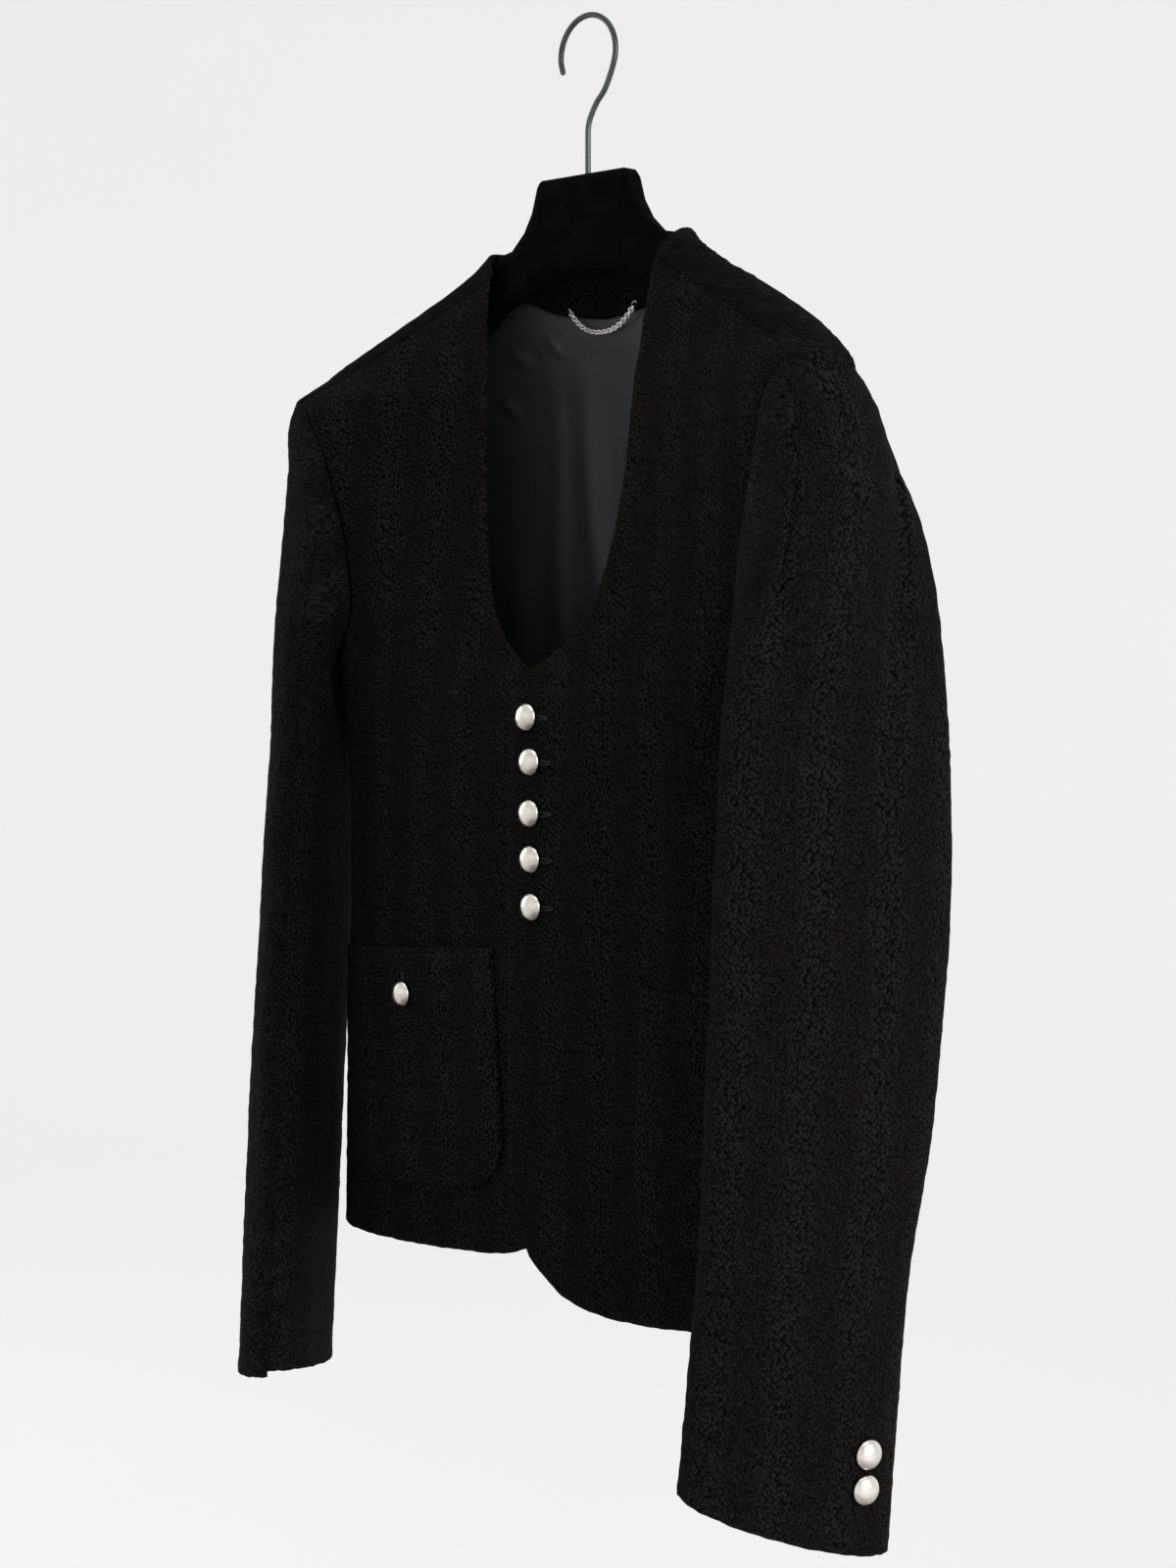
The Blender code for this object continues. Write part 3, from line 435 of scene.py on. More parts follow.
def clothWall(name, outer, inner, uv, paintedLight, bulge, finish):
    # Two grids a wall's thickness apart, closed by a rounded rim
    rows, columns = outer.shape[:2]
    index = np.arange(rows * columns).reshape(rows, columns)
    away = np.zeros_like(outer)
    away[0] += unit(outer[0] - outer[1])
    away[-1] += unit(outer[-1] - outer[-2])
    away[:, 0] += unit(outer[:, 0] - outer[:, 1])
    away[:, -1] += unit(outer[:, -1] - outer[:, -2])
    middle = (outer + inner) / 2 + unit(away) * bulge[..., None]
    loop = np.concatenate([index[0], index[1:, -1], index[-1, -2::-1], index[-2:0:-1, 0]])
    face = np.stack([index[:-1, :-1], index[:-1, 1:], index[1:, 1:], index[1:, :-1]], -1)
    face = face.reshape(-1, 4)
    count = rows * columns
    ahead = np.roll(loop, -1)
    ring = 2 * count + np.arange(len(loop))
    ringAhead = np.roll(ring, -1)
    rims = [np.stack([loop, ring, ringAhead, ahead], -1),
            np.stack([ring, loop + count, ahead + count, ringAhead], -1)]
    faces = np.concatenate([face, face[:, ::-1] + count, *rims])
    points = np.concatenate([outer.reshape(-1, 3), inner.reshape(-1, 3),
                             middle.reshape(-1, 3)[loop]])
    # The mask of painted light: full on the outside, 0.6 of it on the inside, and the rim takes
    # its edge's
    flat, paintedLightMask = uv.reshape(-1, 2), paintedLight.ravel()
    return makeObject(name, points, faces, np.concatenate([flat, flat, flat[loop]]),
                      np.concatenate([paintedLightMask, paintedLightMask * 0.6, paintedLightMask[loop]]), finish)


def shell(points, normals, high, low):
    return points + normals * high[..., None], points + normals * low[..., None]


def panel(name, surface, uv, lift, seams, free, finish, nub=1.0, ease=0.0, ragged=None):
    # A tweed panel on a surface's points and normals: lift moves it, ease only its outside
    points, normals = surface
    distances = edgeDistances(points)
    edges, paintedLight = edgeRelief(distances, seams, free)
    nubs = unevenness(points.shape[:2], cloth["nub"] * nub)
    outer, inner = shell(points, normals, lift + edges + ease + nubs, lift - cloth["thick"])
    bulge = np.full(points.shape[:2], cloth["bond"])
    for side, weight in free.items():
        rim = cloth["rim"] * cloth["thick"] * weight
        bulge = np.maximum(bulge, rim * (distances[side] < 1e-9))
    for side, weight in (ragged or free).items():
        outer, inner = raggedEdge(outer, inner, side, weight)
    return clothWall(name, outer, inner, uv, paintedLight, bulge, finish)


def raggedEdge(outer, inner, side, weight):
    # Moves an edge and, by less, the lines next to it along the cloth by a soft random line
    turned = side in ("first", "last")
    grids = [g.swapaxes(0, 1).copy() if turned else g.copy() for g in (outer, inner)]
    order = slice(None) if side in ("bottom", "first") else slice(None, None, -1)
    amount = waver(grids[0].shape[1], cloth["ragged"]) * np.ravel(
        weight if np.ndim(weight) else np.full(grids[0].shape[1], weight))
    for grid in grids:
        lines = grid[order]
        away = unit(lines[0] - lines[2])
        for k, share in enumerate((1.0, 0.6, 0.25)):
            lines[k] += away * (amount * share)[:, None]
    return [g.swapaxes(0, 1) if turned else g for g in grids]


def circleAngles(count):
    return 2 * math.pi * np.arange(count) / count


def ringQuads(index):
    # Faces between the rows of a grid whose columns close into rings
    ahead = np.roll(index, -1, 1)
    return np.stack([index[:-1], ahead[:-1], ahead[1:], index[1:]], -1).reshape(-1, 4)


def tube(path, radius, sides, reference, closed=False):
    # A round section carried along a path; reference is a direction the path never runs along
    if closed:
        tangent = unit(np.roll(path, -1, 0) - np.roll(path, 1, 0))
    else:
        tangent = unit(np.gradient(path, axis=0))
    side = unit(np.cross(tangent, reference))
    up = np.cross(side, tangent)
    turn = circleAngles(sides)
    radius = np.broadcast_to(radius, len(path))[:, None, None]
    points = (path[:, None] + radius * (np.cos(turn)[None, :, None] * side[:, None]
                                        + np.sin(turn)[None, :, None] * up[:, None]))
    index = np.arange(len(path) * sides).reshape(-1, sides)
    return points.reshape(-1, 3), ringQuads(np.vstack([index, index[:1]]) if closed else index)


def joined(parts):
    # Several (points, faces) as one
    points, faces, offset = [], [], 0
    for p, f in parts:
        points.append(p)
        faces.append(f + offset)
        offset += len(p)
    return np.concatenate(points), np.concatenate(faces)


def settle(item, slotName, *nodes):
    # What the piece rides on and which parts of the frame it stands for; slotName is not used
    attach(item, "root")
    if nodes:
        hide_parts(*nodes)
    return item


# Finishes


class Value:
    # A shader's number or colour; arithmetic on numbers adds Math nodes

    def __init__(self, finish, socket):
        self.finish, self.socket = finish, socket

    def out(self, key):
        return Value(self.finish, self.socket.node.outputs[key])

    def op(self, kind, *operands):
        return self.finish.node("ShaderNodeMath", {"operation": kind}, dict(enumerate(operands)))

    def ease(self, low, high):
        return self.finish.node("ShaderNodeMapRange", {"interpolation_type": "SMOOTHSTEP"},
                                {0: self, 1: low, 2: high, 3: 0.0, 4: 1.0})


for sign, kind in (("add", "ADD"), ("sub", "SUBTRACT"), ("mul", "MULTIPLY"),
                   ("truediv", "DIVIDE"), ("pow", "POWER")):
    setattr(Value, f"__{sign}__", lambda a, b, kind=kind: a.op(kind, a, b))
    setattr(Value, f"__r{sign}__", lambda a, b, kind=kind: a.op(kind, b, a))
for word, kind in (("wave", "SINE"), ("far", "ABSOLUTE"), ("part", "FRACT"),
                   ("least", "MINIMUM"), ("most", "MAXIMUM")):
    setattr(Value, word, lambda a, *others, kind=kind: a.op(kind, a, *others))


class Finish:
    # A material and the one way in which its nodes are added

    def __init__(self, name, **fixed):
        self.material = bpy.data.materials.new(name)
        self.material.use_nodes = True
        self.tree = self.material.node_tree
        self.shader = self.tree.nodes["Principled BSDF"]
        self.set({key.replace("_", " "): value for key, value in fixed.items()})

    def set(self, inputs):
        for key, value in inputs.items():
            self.feed(self.shader.inputs[key], value)

    def cover(self, colour, rough, height, rise):
        # height is a pattern from 0 to about 1, and rise is what 1 of it stands for
        bumps = self.node("ShaderNodeBump", {},
                          {"Height": height, "Distance": rise, "Strength": 1.0})
        self.set({"Base Color": colour, "Roughness": rough, "Normal": bumps})
        return self.material

    def feed(self, socket, value):
        if isinstance(value, Value):
            self.tree.links.new(value.socket, socket)
        else:
            socket.default_value = value

    def node(self, kind, settings=None, inputs=None, out=0):
        node = self.tree.nodes.new(kind)
        for key, value in (settings or {}).items():
            setattr(node, key, value)
        for key, value in (inputs or {}).items():
            self.feed(node.inputs[key], value)
        return Value(self, node.outputs[out])

    def mix(self, factor, first, second):
        return self.node("ShaderNodeMix", {"data_type": "RGBA"},
                         {0: factor, 6: first, 7: second}, out=2)

    def noise(self, vector, scale, detail=2.0, dimensions="2D"):
        return self.node("ShaderNodeTexNoise", {"noise_dimensions": dimensions},
                         {"Vector": vector, "Scale": scale, "Detail": detail})

    def split(self, vector):
        parts = self.node("ShaderNodeSeparateXYZ", {}, {0: vector})
        return parts, parts.out(1), parts.out(2)

    def clothMap(self):
        return self.node("ShaderNodeUVMap", {"uv_map": "cloth"})

    def place(self):
        return self.node("ShaderNodeTexCoord").out("Object")

    def paintedLight(self):
        # The mesh's mask of painted light and shade
        return self.node("ShaderNodeAttribute", {"attribute_name": "paintedLight"}, out=2)

    def stretched(self, vector, scale):
        return self.node("ShaderNodeMapping", {}, {"Vector": vector, "Scale": scale})


def tone(level, warm=0.0):
    # A grey with a little more red and less blue
    return (level * (1 + warm), level, level * (1 - 2 * warm), 1.0)


tweedLook = {
    "lean": 62.0,                  # of the yarn floats, in degrees from level
    "float": (0.00145, 0.0030),
    "fineLean": 70.0,
    "fineFloat": (0.0010, 0.0021),
    "band": 0.0380,                # one coarse and one fine stripe
    "check": (0.0182, 0.0176),     # pulled threads, across and down
    "dark": 0.0004,
    "light": 0.0215,
    "loose": 0.0008,               # how far the yarns wander
}


def tweedFinish(name, turn, brightness, depth, low, rise):
    # Yarn floats as cells on two leaning grids, coarse and fine by turns, with pulled threads
    # depth: how dark the gaps between yarns are; low: where they begin; rise: the yarns' height
    look = tweedLook
    f = Finish(name, Roughness=0.82, Specular_IOR_Level=0.015, Sheen_Weight=0.008,
               Sheen_Roughness=0.34, Sheen_Tint=(0.95, 0.93, 0.90, 1.0))
    uv = f.clothMap()
    u, v, _ = f.split(uv)
    u1 = u + (f.noise(uv, 260.0) - 0.5) * look["loose"]
    v1 = v + (f.noise(uv, 330.0, 1.0) - 0.5) * look["loose"]

    def floats(lean, size, seed):
        a = math.radians(lean + turn)
        over = (v1 * math.cos(a) - u1 * math.sin(a)) / size[0] + seed
        along = (u1 * math.cos(a) + v1 * math.sin(a)) / size[1] + seed
        spot = f.node("ShaderNodeCombineXYZ", {}, {0: over, 1: along})
        cells = f.node("ShaderNodeTexVoronoi",
                       {"voronoi_dimensions": "2D", "feature": "F1"},
                       {"Vector": spot, "Scale": 1.0, "Randomness": 0.70})
        yarn = f.node("ShaderNodeSeparateColor", {}, {0: cells.out("Color")})
        return 1 - (cells * 1.15).least(1.0), yarn

    coarse, coarseYarn = floats(look["lean"], look["float"], 0.0)
    fine, fineYarn = floats(look["fineLean"], look["fineFloat"], 11.0)
    sway = f.noise(uv, 45.0, 1.0)
    stripe = ((u / look["band"] * 2 * math.pi + sway * 2.2).wave() * 0.5 + 0.5).ease(0.25, 0.75)
    height = coarse * (1 - stripe * 0.75) + fine * (stripe * 0.75)
    yarn = coarseYarn * (1 - stripe) + fineYarn * stripe

    def pulled(at, every, width, seed):
        off = ((at / every + seed).part() - 0.5).far() * every
        paintedLightMask = f.noise(uv, 24.0 + 7 * seed, 2.0).ease(0.26, 0.62)
        return (1 - off.ease(width * 0.35, width)) * paintedLightMask

    down = pulled(v1 + (sway - 0.5) * 0.004, look["check"][1], 0.00062, 0.31)
    over = pulled(u1 + (sway - 0.5) * 0.002, look["check"][0], 0.00052, 0.12)
    lines = down.most(over * 0.65)
    fuzz = f.noise(uv, 1500.0, 3.0)
    patch = f.noise(uv, 26.0, 2.0)
    body = (1 - depth) + height.ease(low, 0.92) * depth
    body = body * (0.50 + yarn * 0.75) * (0.55 + fuzz * 0.9)
    body = body * (1 - lines * 0.42) * (0.75 + patch * 0.40) * (1.08 - stripe * 0.22)
    # Painted highlight: the cloth is lighter along its free edges
    body = (body + f.paintedLight() * 0.16).least(1.0)
    dark, light = look["dark"] * brightness, look["light"] * brightness
    colour = f.mix(body, tone(dark, 0.04), tone(light, 0.07))
    tint = f.noise(uv, 62.0, 2.0).ease(0.60, 0.74)
    colour = f.mix(tint * 0.3, colour, (0.0100 * brightness, 0.0064 * brightness,
                                        0.0066 * brightness, 1.0))
    return f.cover(colour, 0.74 + body * 0.2, height + fuzz * 0.28 - lines * 0.28, rise)


satinLook = {
    "base": (0.0190, 0.0182, 0.0190, 1.0),
    "lit": (0.0330, 0.0312, 0.0320, 1.0),
    "twill": 0.00042,
}


def satinFinish():
    # A fine leaning twill with streaks along the cloth
    f = Finish("lining_satin", Roughness=0.38, Specular_IOR_Level=0.26, Anisotropic=0.35,
               Sheen_Weight=0.05, Sheen_Roughness=0.3)
    uv = f.clothMap()
    u, v, _ = f.split(uv)
    twill = ((u * 0.8 + v) * (2 * math.pi / satinLook["twill"])).wave() * 0.5 + 0.5
    streak = f.noise(f.stretched(uv, (700.0, 28.0, 1.0)), 1.0)
    cloud = f.noise(uv, 18.0)
    return f.cover(f.mix(cloud * 0.6 + streak * 0.4, satinLook["base"], satinLook["lit"]),
                   0.30 + streak * 0.12 + cloud * 0.05, twill * 0.5 + streak, 0.00005)


def flockFinish():
    # Short pile, with places rubbed paler
    f = Finish("hanger_flock", Roughness=0.9, Specular_IOR_Level=0.02, Sheen_Weight=0.008,
               Sheen_Roughness=0.45)
    spot = f.place()
    pile = f.noise(spot, 2600.0, 3.0, "3D")
    brushed = f.noise(spot, 55.0, 3.0, "3D")
    rub = brushed.ease(0.42, 0.70)
    colour = f.mix(rub * 0.7 + pile * 0.3, tone(0.0008, 0.03), tone(0.0028, 0.05))
    return f.cover(colour, 0.82 + pile * 0.16, pile + brushed * 0.6, 0.00022)


def silverFinish(name, base, rough, grain):
    # Blasted silver that is duller where it is handled, and darkened by painted shade where the
    # mesh's mask of painted light is set
    f = Finish(name, Metallic=1.0)
    spot = f.place()
    blast = f.noise(spot, grain, 3.0, "3D")
    handled = f.noise(spot, 160.0, 2.0, "3D")
    dull = handled.ease(0.45, 0.75)

    def shade(*shares):
        return (*(level * share for level, share in zip(base, shares)), 1.0)

    metal = f.mix(dull * 0.6 + blast * 0.3, shade(1.0, 1.0, 1.0), shade(0.72, 0.70, 0.67))
    # Painted shade: the mask darkens the metal, on buttons toward the lower side of the rim
    return f.cover(f.mix(f.paintedLight(), metal, shade(0.12, 0.10, 0.08)),
                   rough + blast * 0.10 + dull * 0.06, blast, 0.00004)


def wireFinish():
    # Drawn wire with fine streaks, and painted shade that darkens the top of the bow in blotches
    f = Finish("hook_wire", Metallic=1.0)
    spot = f.place()
    streak = f.noise(f.stretched(spot, (2400.0, 2400.0, 60.0)), 1.0, 2.0, "3D")
    blotches = f.noise(spot, 90.0, 3.0, "3D").ease(0.5, 0.7)
    # Painted shade: the colour darkens toward the top of the bow
    bow = f.split(spot)[2].ease(-0.050, -0.022)
    paintedLightMask = bow * (0.55 + blotches * 0.45)
    return f.cover(f.mix(paintedLightMask, (0.095, 0.105, 0.095, 1.0), (0.050, 0.055, 0.050, 1.0)),
                   0.24 + streak * 0.12 + blotches * 0.08, streak, 0.00003)


def threadFinish():
    # Twisted thread: bands across the cord and some fluff
    f = Finish("sewing_thread", Roughness=0.6, Specular_IOR_Level=0.25, Sheen_Weight=0.05)
    uv = f.clothMap()
    ply = (f.split(uv)[0] * (2 * math.pi / 0.00075)).wave() * 0.5 + 0.5
    loose = f.noise(uv, 900.0)
    return f.cover(f.mix(ply * 0.7 + loose * 0.3, tone(0.0012), tone(0.0062, 0.02)),
                   0.5 + loose * 0.25, ply + loose * 0.4, 0.00025)


tweedBody = tweedFinish("tweed_body", 0.0, 0.86, 1.0, 0.28, 0.0018)
tweedSleeve = tweedFinish("tweed_sleeve", -4.0, 0.78, 0.92, 0.16, 0.0010)
tweedPocket = tweedFinish("tweed_pocket", 3.0, 0.86, 1.0, 0.26, 0.0014)
# Painted shade: the facing is the body's tweed made darker, for the shade inside the neck
tweedFacingShaded = tweedFinish("tweed_facing_painted_shade", 0.0, 0.34, 0.95, 0.20, 0.0010)
satin = satinFinish()
flock = flockFinish()
silver = silverFinish("button_silver", (0.90, 0.865, 0.81), 0.15, 2600.0)
bright = silverFinish("chain_silver", (0.82, 0.81, 0.80), 0.14, 3000.0)
wire = wireFinish()
thread = threadFinish()
print("finishes made")

# Fronts

frontCut = {
    "edgeLeft": ((-0.013, -0.384), (-0.013, -0.560), (-0.013, -0.668), (-0.0095, -0.698),
                 (0.004, -0.719)),
    "hemLeft": ((0.004, -0.719), (0.026, -0.7355), (0.068, -0.7445), (0.134, -0.741),
                (0.200, -0.737)),
    "edgeRight": ((0.030, -0.384), (0.030, -0.560), (0.030, -0.655), (0.025, -0.690),
                  (0.010, -0.712)),
    "hemRight": ((0.010, -0.712), (-0.014, -0.7205), (-0.070, -0.7265), (-0.134, -0.730),
                 (-0.200, -0.733)),
    "neckline": ((0.0, -0.378), (0.028, -0.361), (0.046, -0.331), (0.057, -0.277),
                 (0.0624, -0.205), (0.0685, -0.1455)),
    "creases": (                   # from x, z to x, z, width, height
        (0.168, -0.322, 0.128, -0.455, 0.011, -0.0019),
        (0.186, -0.385, 0.150, -0.500, 0.010, 0.0013),
        (0.198, -0.430, 0.207, -0.660, 0.015, -0.0020),
        (0.085, -0.520, 0.102, -0.735, 0.021, 0.0013),
        (0.042, -0.545, 0.036, -0.715, 0.017, -0.0011),
        (0.140, -0.215, 0.118, -0.300, 0.016, -0.0012),
        (-0.162, -0.328, -0.118, -0.440, 0.011, -0.0017),
        (-0.186, -0.400, -0.160, -0.560, 0.012, 0.0014),
        (-0.201, -0.440, -0.214, -0.640, 0.014, -0.0018),
        (-0.061, -0.330, -0.050, -0.540, 0.010, 0.0007),
        (-0.133, -0.215, -0.108, -0.310, 0.017, -0.0011),
        (-0.040, -0.600, -0.046, -0.715, 0.016, 0.0010),
    ),
}


def frontPlaces(points, side):
    # Points drawn from the front as places round the body
    return np.array([(around(side * x, z, 1), z) for x, z in points])


def frontGrid(side):
    # A front between its hem, shoulder, front edge with neckline, and side with armhole
    edge = frontCut["edgeLeft" if side > 0 else "edgeRight"]
    hem = frontCut["hemLeft" if side > 0 else "hemRight"]
    rows = bodyForm["frontRows"]
    lower = spline(frontPlaces(edge, side), bodyForm["sideRows"])[::-1]
    necks = edge[:1] + tuple((side * x, z) for x, z in frontCut["neckline"])
    inner = np.vstack([lower, spline(frontPlaces(necks, side), rows)[1:]])
    armhole = armholePlaces(armholeShares()[0][::-1])
    sideSeam = np.linspace((bodyForm["sideSeamHem"], bodyForm["hemBack"]), armhole[0],
                           bodyForm["sideRows"])
    outer = np.vstack([sideSeam, armhole[1:]])
    outer[:, 0] -= cloth["gap"] / 4
    shoulder = towardSide(inner[-1], armhole[-1])
    shoulder[:, 1] -= cloth["gap"] / 4
    inner[-1], outer[-1] = shoulder[0], shoulder[-1]
    shares = towardSide(np.zeros(2), np.ones(2))[:, 0]
    hemLine = spline(np.vstack([frontPlaces(hem, side), outer[:1]]), shares=shares)
    return coons(hemLine, shoulder, inner, outer)


def makeFront(side):
    # The front's grid on the body, with the lap's lift and its creases
    word = "left" if side > 0 else "right"
    coarse = frontGrid(side)
    corner = bodyForm["sideRows"] - 1
    place = finerBoth(coarse, (0, corner, len(coarse) - 1), (0, coarse.shape[1] - 1),
                      cloth["spacing"])
    lift = lapLift(place) if side > 0 else 0.0
    place = place * (side, 1)
    item = panel(
        f"front_{word}_cloth", (bodyPlace(place), bodyNormal(place)), place,
        lift + relief(place, frontCut["creases"]), {"top": 0.5, "last": 0.6},
        {"bottom": 1.0, "first": 0.75}, tweedBody)
    settle(item, "tweed", f"front_{word}")
    return item


fronts = {side: makeFront(side) for side in (1, -1)}
print("fronts made")

# Back, its facing and lining

backCut = {
    # face, across, height, from the centre back over the ridge to the shoulder seam
    "neck": ((-1, 0.0, -0.1400), (-1, 0.036, -0.1385), (-1, 0.060, -0.1335),
             (-1, 0.0710, -0.1270), (1, 0.0770, -0.1310)),
    "facingDepth": 0.031,
    "facingRows": 2,
    "facingColumns": 6,
    "creases": (                   # x is measured from the centre back
        (0.118, -0.250, 0.072, -0.420, 0.016, -0.0017),
        (0.150, -0.345, 0.105, -0.500, 0.013, 0.0014),
        (0.060, -0.480, 0.068, -0.720, 0.022, -0.0013),
        (0.020, -0.200, 0.026, -0.380, 0.018, 0.0010),
        (-0.122, -0.262, -0.080, -0.400, 0.015, -0.0016),
        (-0.146, -0.360, -0.110, -0.540, 0.014, 0.0015),
        (-0.046, -0.500, -0.060, -0.725, 0.020, 0.0013),
        (-0.030, -0.230, -0.018, -0.360, 0.020, -0.0009),
        (-0.060, -0.186, 0.055, -0.182, 0.008, -0.0010),
    ),
}


def fromBack(places):
    # Length round from the centre back into length round from the centre front, or back again
    places = np.array(places, float)
    places[..., 0] = halfGirth(places[..., 1]) - places[..., 0]
    return places


def backGrid():
    # Half the back between its hem, neck with shoulder, centre line, and side with armhole
    shares = armholeShares()
    rows = bodyForm["backRows"]
    armhole = armholePlaces(np.concatenate([shares[1], shares[2][1:]]))
    sideSeam = np.linspace((bodyForm["sideSeamHem"], bodyForm["hemBack"]), armhole[0],
                           bodyForm["sideRows"])
    sideSeam[:, 0] += cloth["gap"] / 4
    outer = np.vstack([sideSeam, armhole[1:]])
    corner = (1, *frontCut["neckline"][-1])
    neck = [(around(x, z, face), z) for face, x, z in backCut["neck"] + (corner,)]
    shoulder = towardSide(neck[-1], armhole[-1])
    shoulder[:, 1] += cloth["gap"] / 4
    outer[-1] = shoulder[-1]
    outer = fromBack(outer)
    top = np.vstack([spline(fromBack(neck), bodyForm["neckColumns"])[:-1], fromBack(shoulder)])
    facingEnd = top[0] - (0, backCut["facingDepth"])
    underarm, yoke = (0, armhole[0, 1]), (0, armhole[rows - 1, 1])
    centre = np.vstack([
        np.linspace((0, bodyForm["hemBack"]), underarm, bodyForm["sideRows"]),
        np.linspace(underarm, yoke, rows)[1:],
        np.linspace(yoke, facingEnd, bodyForm["ridgeRows"] - backCut["facingRows"])[1:],
        np.linspace(facingEnd, top[0], backCut["facingRows"] + 1)[1:],
    ])
    hemLine = towardSide(centre[0], outer[0])
    underNeck = np.linspace(hemLine[0], hemLine[2], bodyForm["neckColumns"] + 2)
    return coons(np.vstack([underNeck[:-1], hemLine[2:]]), top, centre, outer)


def wholeWidth(half):
    # Both sides of a grid whose first column lies on the centre back
    return np.concatenate([half[:, :0:-1] * (-1, 1), half], axis=1)


def onBody(fromCentreBack):
    # Points of the body for places from the centre back, on their own side
    side = np.where(fromCentreBack[..., 0] < 0, -1.0, 1.0)
    turn = halfGirth(fromCentreBack[..., 1]) - np.abs(fromCentreBack[..., 0])
    return bodyPlace(np.stack([side * turn, fromCentreBack[..., 1]], axis=-1))


def backSurface(flat):
    # Points and outward directions of the back for places from its centre line
    points = onBody(flat)
    points[..., 0] = np.where(np.abs(flat[..., 0]) < 1e-9, 0.0, points[..., 0])
    side, rise = slopes(onBody, flat, 0.0012)
    return points, unit(np.cross(rise, side))


def makeBack():
    # Both halves as one grid on the body, with a free edge where the neck is
    coarse = backGrid()
    sideCorner, neckCorner = bodyForm["sideRows"] - 1, bodyForm["neckColumns"] - 1
    half = finerBoth(coarse, (0, sideCorner, len(coarse) - 1),
                     (0, neckCorner, coarse.shape[1] - 1), cloth["spacing"])
    flat = wholeWidth(half)
    fromCentre = np.abs(np.arange(flat.shape[1]) - flat.shape[1] // 2)
    neckCount = finer(coarse.swapaxes(0, 1), (0, neckCorner), cloth["spacing"]).shape[0]
    neck = (fromCentre < neckCount).astype(float)
    item = panel(
        "back_cloth", backSurface(flat), flat * (-1, 1), relief(flat, backCut["creases"]),
        {"top": 0.5 * (1 - neck), "first": 0.6, "last": 0.6}, {"bottom": 1.0, "top": neck},
        tweedBody, ragged={"bottom": 1.0, "top": 0.5 * neck})
    settle(item, "tweed", "back")
    return coarse


insideCut = {
    "nub": 0.0001,                 # of the facing
    "facingSpacing": 0.0014,
    "liningSpacing": 0.0030,
    "hold": 0.02,                  # how near its edges the lining lies on the back
    "puckers": 0.0011,             # of the lining, under the facing
    "puckerLength": 0.012,
    "puckerWaves": (520, 140),     # per metre of turn, and their own slow change
    "tuck": 0.001,                 # under the facing, where the puckers end
    "bonds": (0.0005, 0.0003),     # bulge of the facing's and the lining's rims
    "folds": (                     # of the lining, standing off the back
        (0.030, -0.180, 0.044, -0.420, 0.0080, 0.0034),
        (0.012, -0.200, 0.004, -0.480, 0.0070, 0.0026),
        (-0.028, -0.185, -0.018, -0.400, 0.0090, 0.0036),
        (-0.052, -0.190, -0.060, -0.460, 0.0075, 0.0028),
        (0.062, -0.200, 0.080, -0.500, 0.0100, 0.0030),
        (-0.008, -0.300, -0.022, -0.560, 0.0110, 0.0030),
        (-0.090, -0.260, -0.100, -0.560, 0.0120, 0.0032),
        (0.110, -0.280, 0.104, -0.600, 0.0120, 0.0030),
        (-0.082, -0.186, -0.064, -0.193, 0.0030, 0.0030),
        (-0.096, -0.212, -0.080, -0.224, 0.0032, 0.0034),
        (-0.050, -0.178, -0.036, -0.190, 0.0030, 0.0022),
    ),
}


def makeInside(coarse):
    # The facing and the lining: the back's own form, moved inward by what lies between
    rows = backCut["facingRows"]
    # The facing
    place = coarse[-1 - rows:, :backCut["facingColumns"]]
    half = finerBoth(place, (0, len(place) - 1), (0, place.shape[1] - 1),
                     insideCut["facingSpacing"])
    flat = wholeWidth(half)
    points, normals = backSurface(flat)
    distances = edgeDistances(points)
    # The second result is a painted highlight along the facing's lower edge
    edges, paintedLight = edgeRelief(distances, {}, {"bottom": 1.0})
    folds = relief(flat, backCut["creases"])
    inset = cloth["thick"] + cloth["gap"]
    nubs = unevenness(flat.shape[:2], insideCut["nub"])
    under = folds - inset - cloth["facing"] - edges - nubs
    outer, inner = shell(points, normals, folds - inset, under)
    outer, inner = raggedEdge(outer, inner, "bottom", 0.6)
    bulge = np.full(flat.shape[:2], insideCut["bonds"][0])
    facing = clothWall("neck_facing_cloth", outer, inner, flat, paintedLight, bulge, tweedFacingShaded)
    settle(facing, "tweed", "neck_facing")
    # The lining, which stands off the back in soft folds and is gathered under the facing
    place = coarse[1:-rows, :-1].copy()
    place[-1] += 4 * cloth["gap"] * unit(place[-2] - place[-1])
    corner = bodyForm["sideRows"] - 2
    half = finerBoth(place, (0, corner, len(place) - 1),
                     (0, bodyForm["neckColumns"] - 1, place.shape[1] - 1),
                     insideCut["liningSpacing"])
    flat = wholeWidth(half)
    points, normals = backSurface(flat)
    distances = edgeDistances(points)
    below = distances["top"]
    hold = 1.0
    for ends in ((below, distances["first"]), (distances["last"], distances["bottom"])):
        hold = hold * (1 - np.exp(-(np.minimum(*ends) / insideCut["hold"]) ** 2))
    close, slow = (flat[..., 0] * rate for rate in insideCut["puckerWaves"])
    gather = np.sin(close + 2.0 * np.sin(slow))
    gather = np.clip(gather, 0, 1) * np.exp(-(below / insideCut["puckerLength"]) ** 2)
    gather *= 1 - np.exp(-below / insideCut["tuck"])
    stand = relief(flat, insideCut["folds"]) * hold + insideCut["puckers"] * gather
    cover = relief(flat, backCut["creases"])
    base = cover - inset - np.maximum(stand, 0)
    outer, inner = shell(points, normals, base, base - cloth["lining"])
    bulge = np.full(flat.shape[:2], insideCut["bonds"][1])
    lining = clothWall("back_lining_satin", outer, inner, flat, 0 * bulge, bulge, satin)
    settle(lining, "lining", "back_lining")


backHalf = makeBack()
makeInside(backHalf)
print("back made")

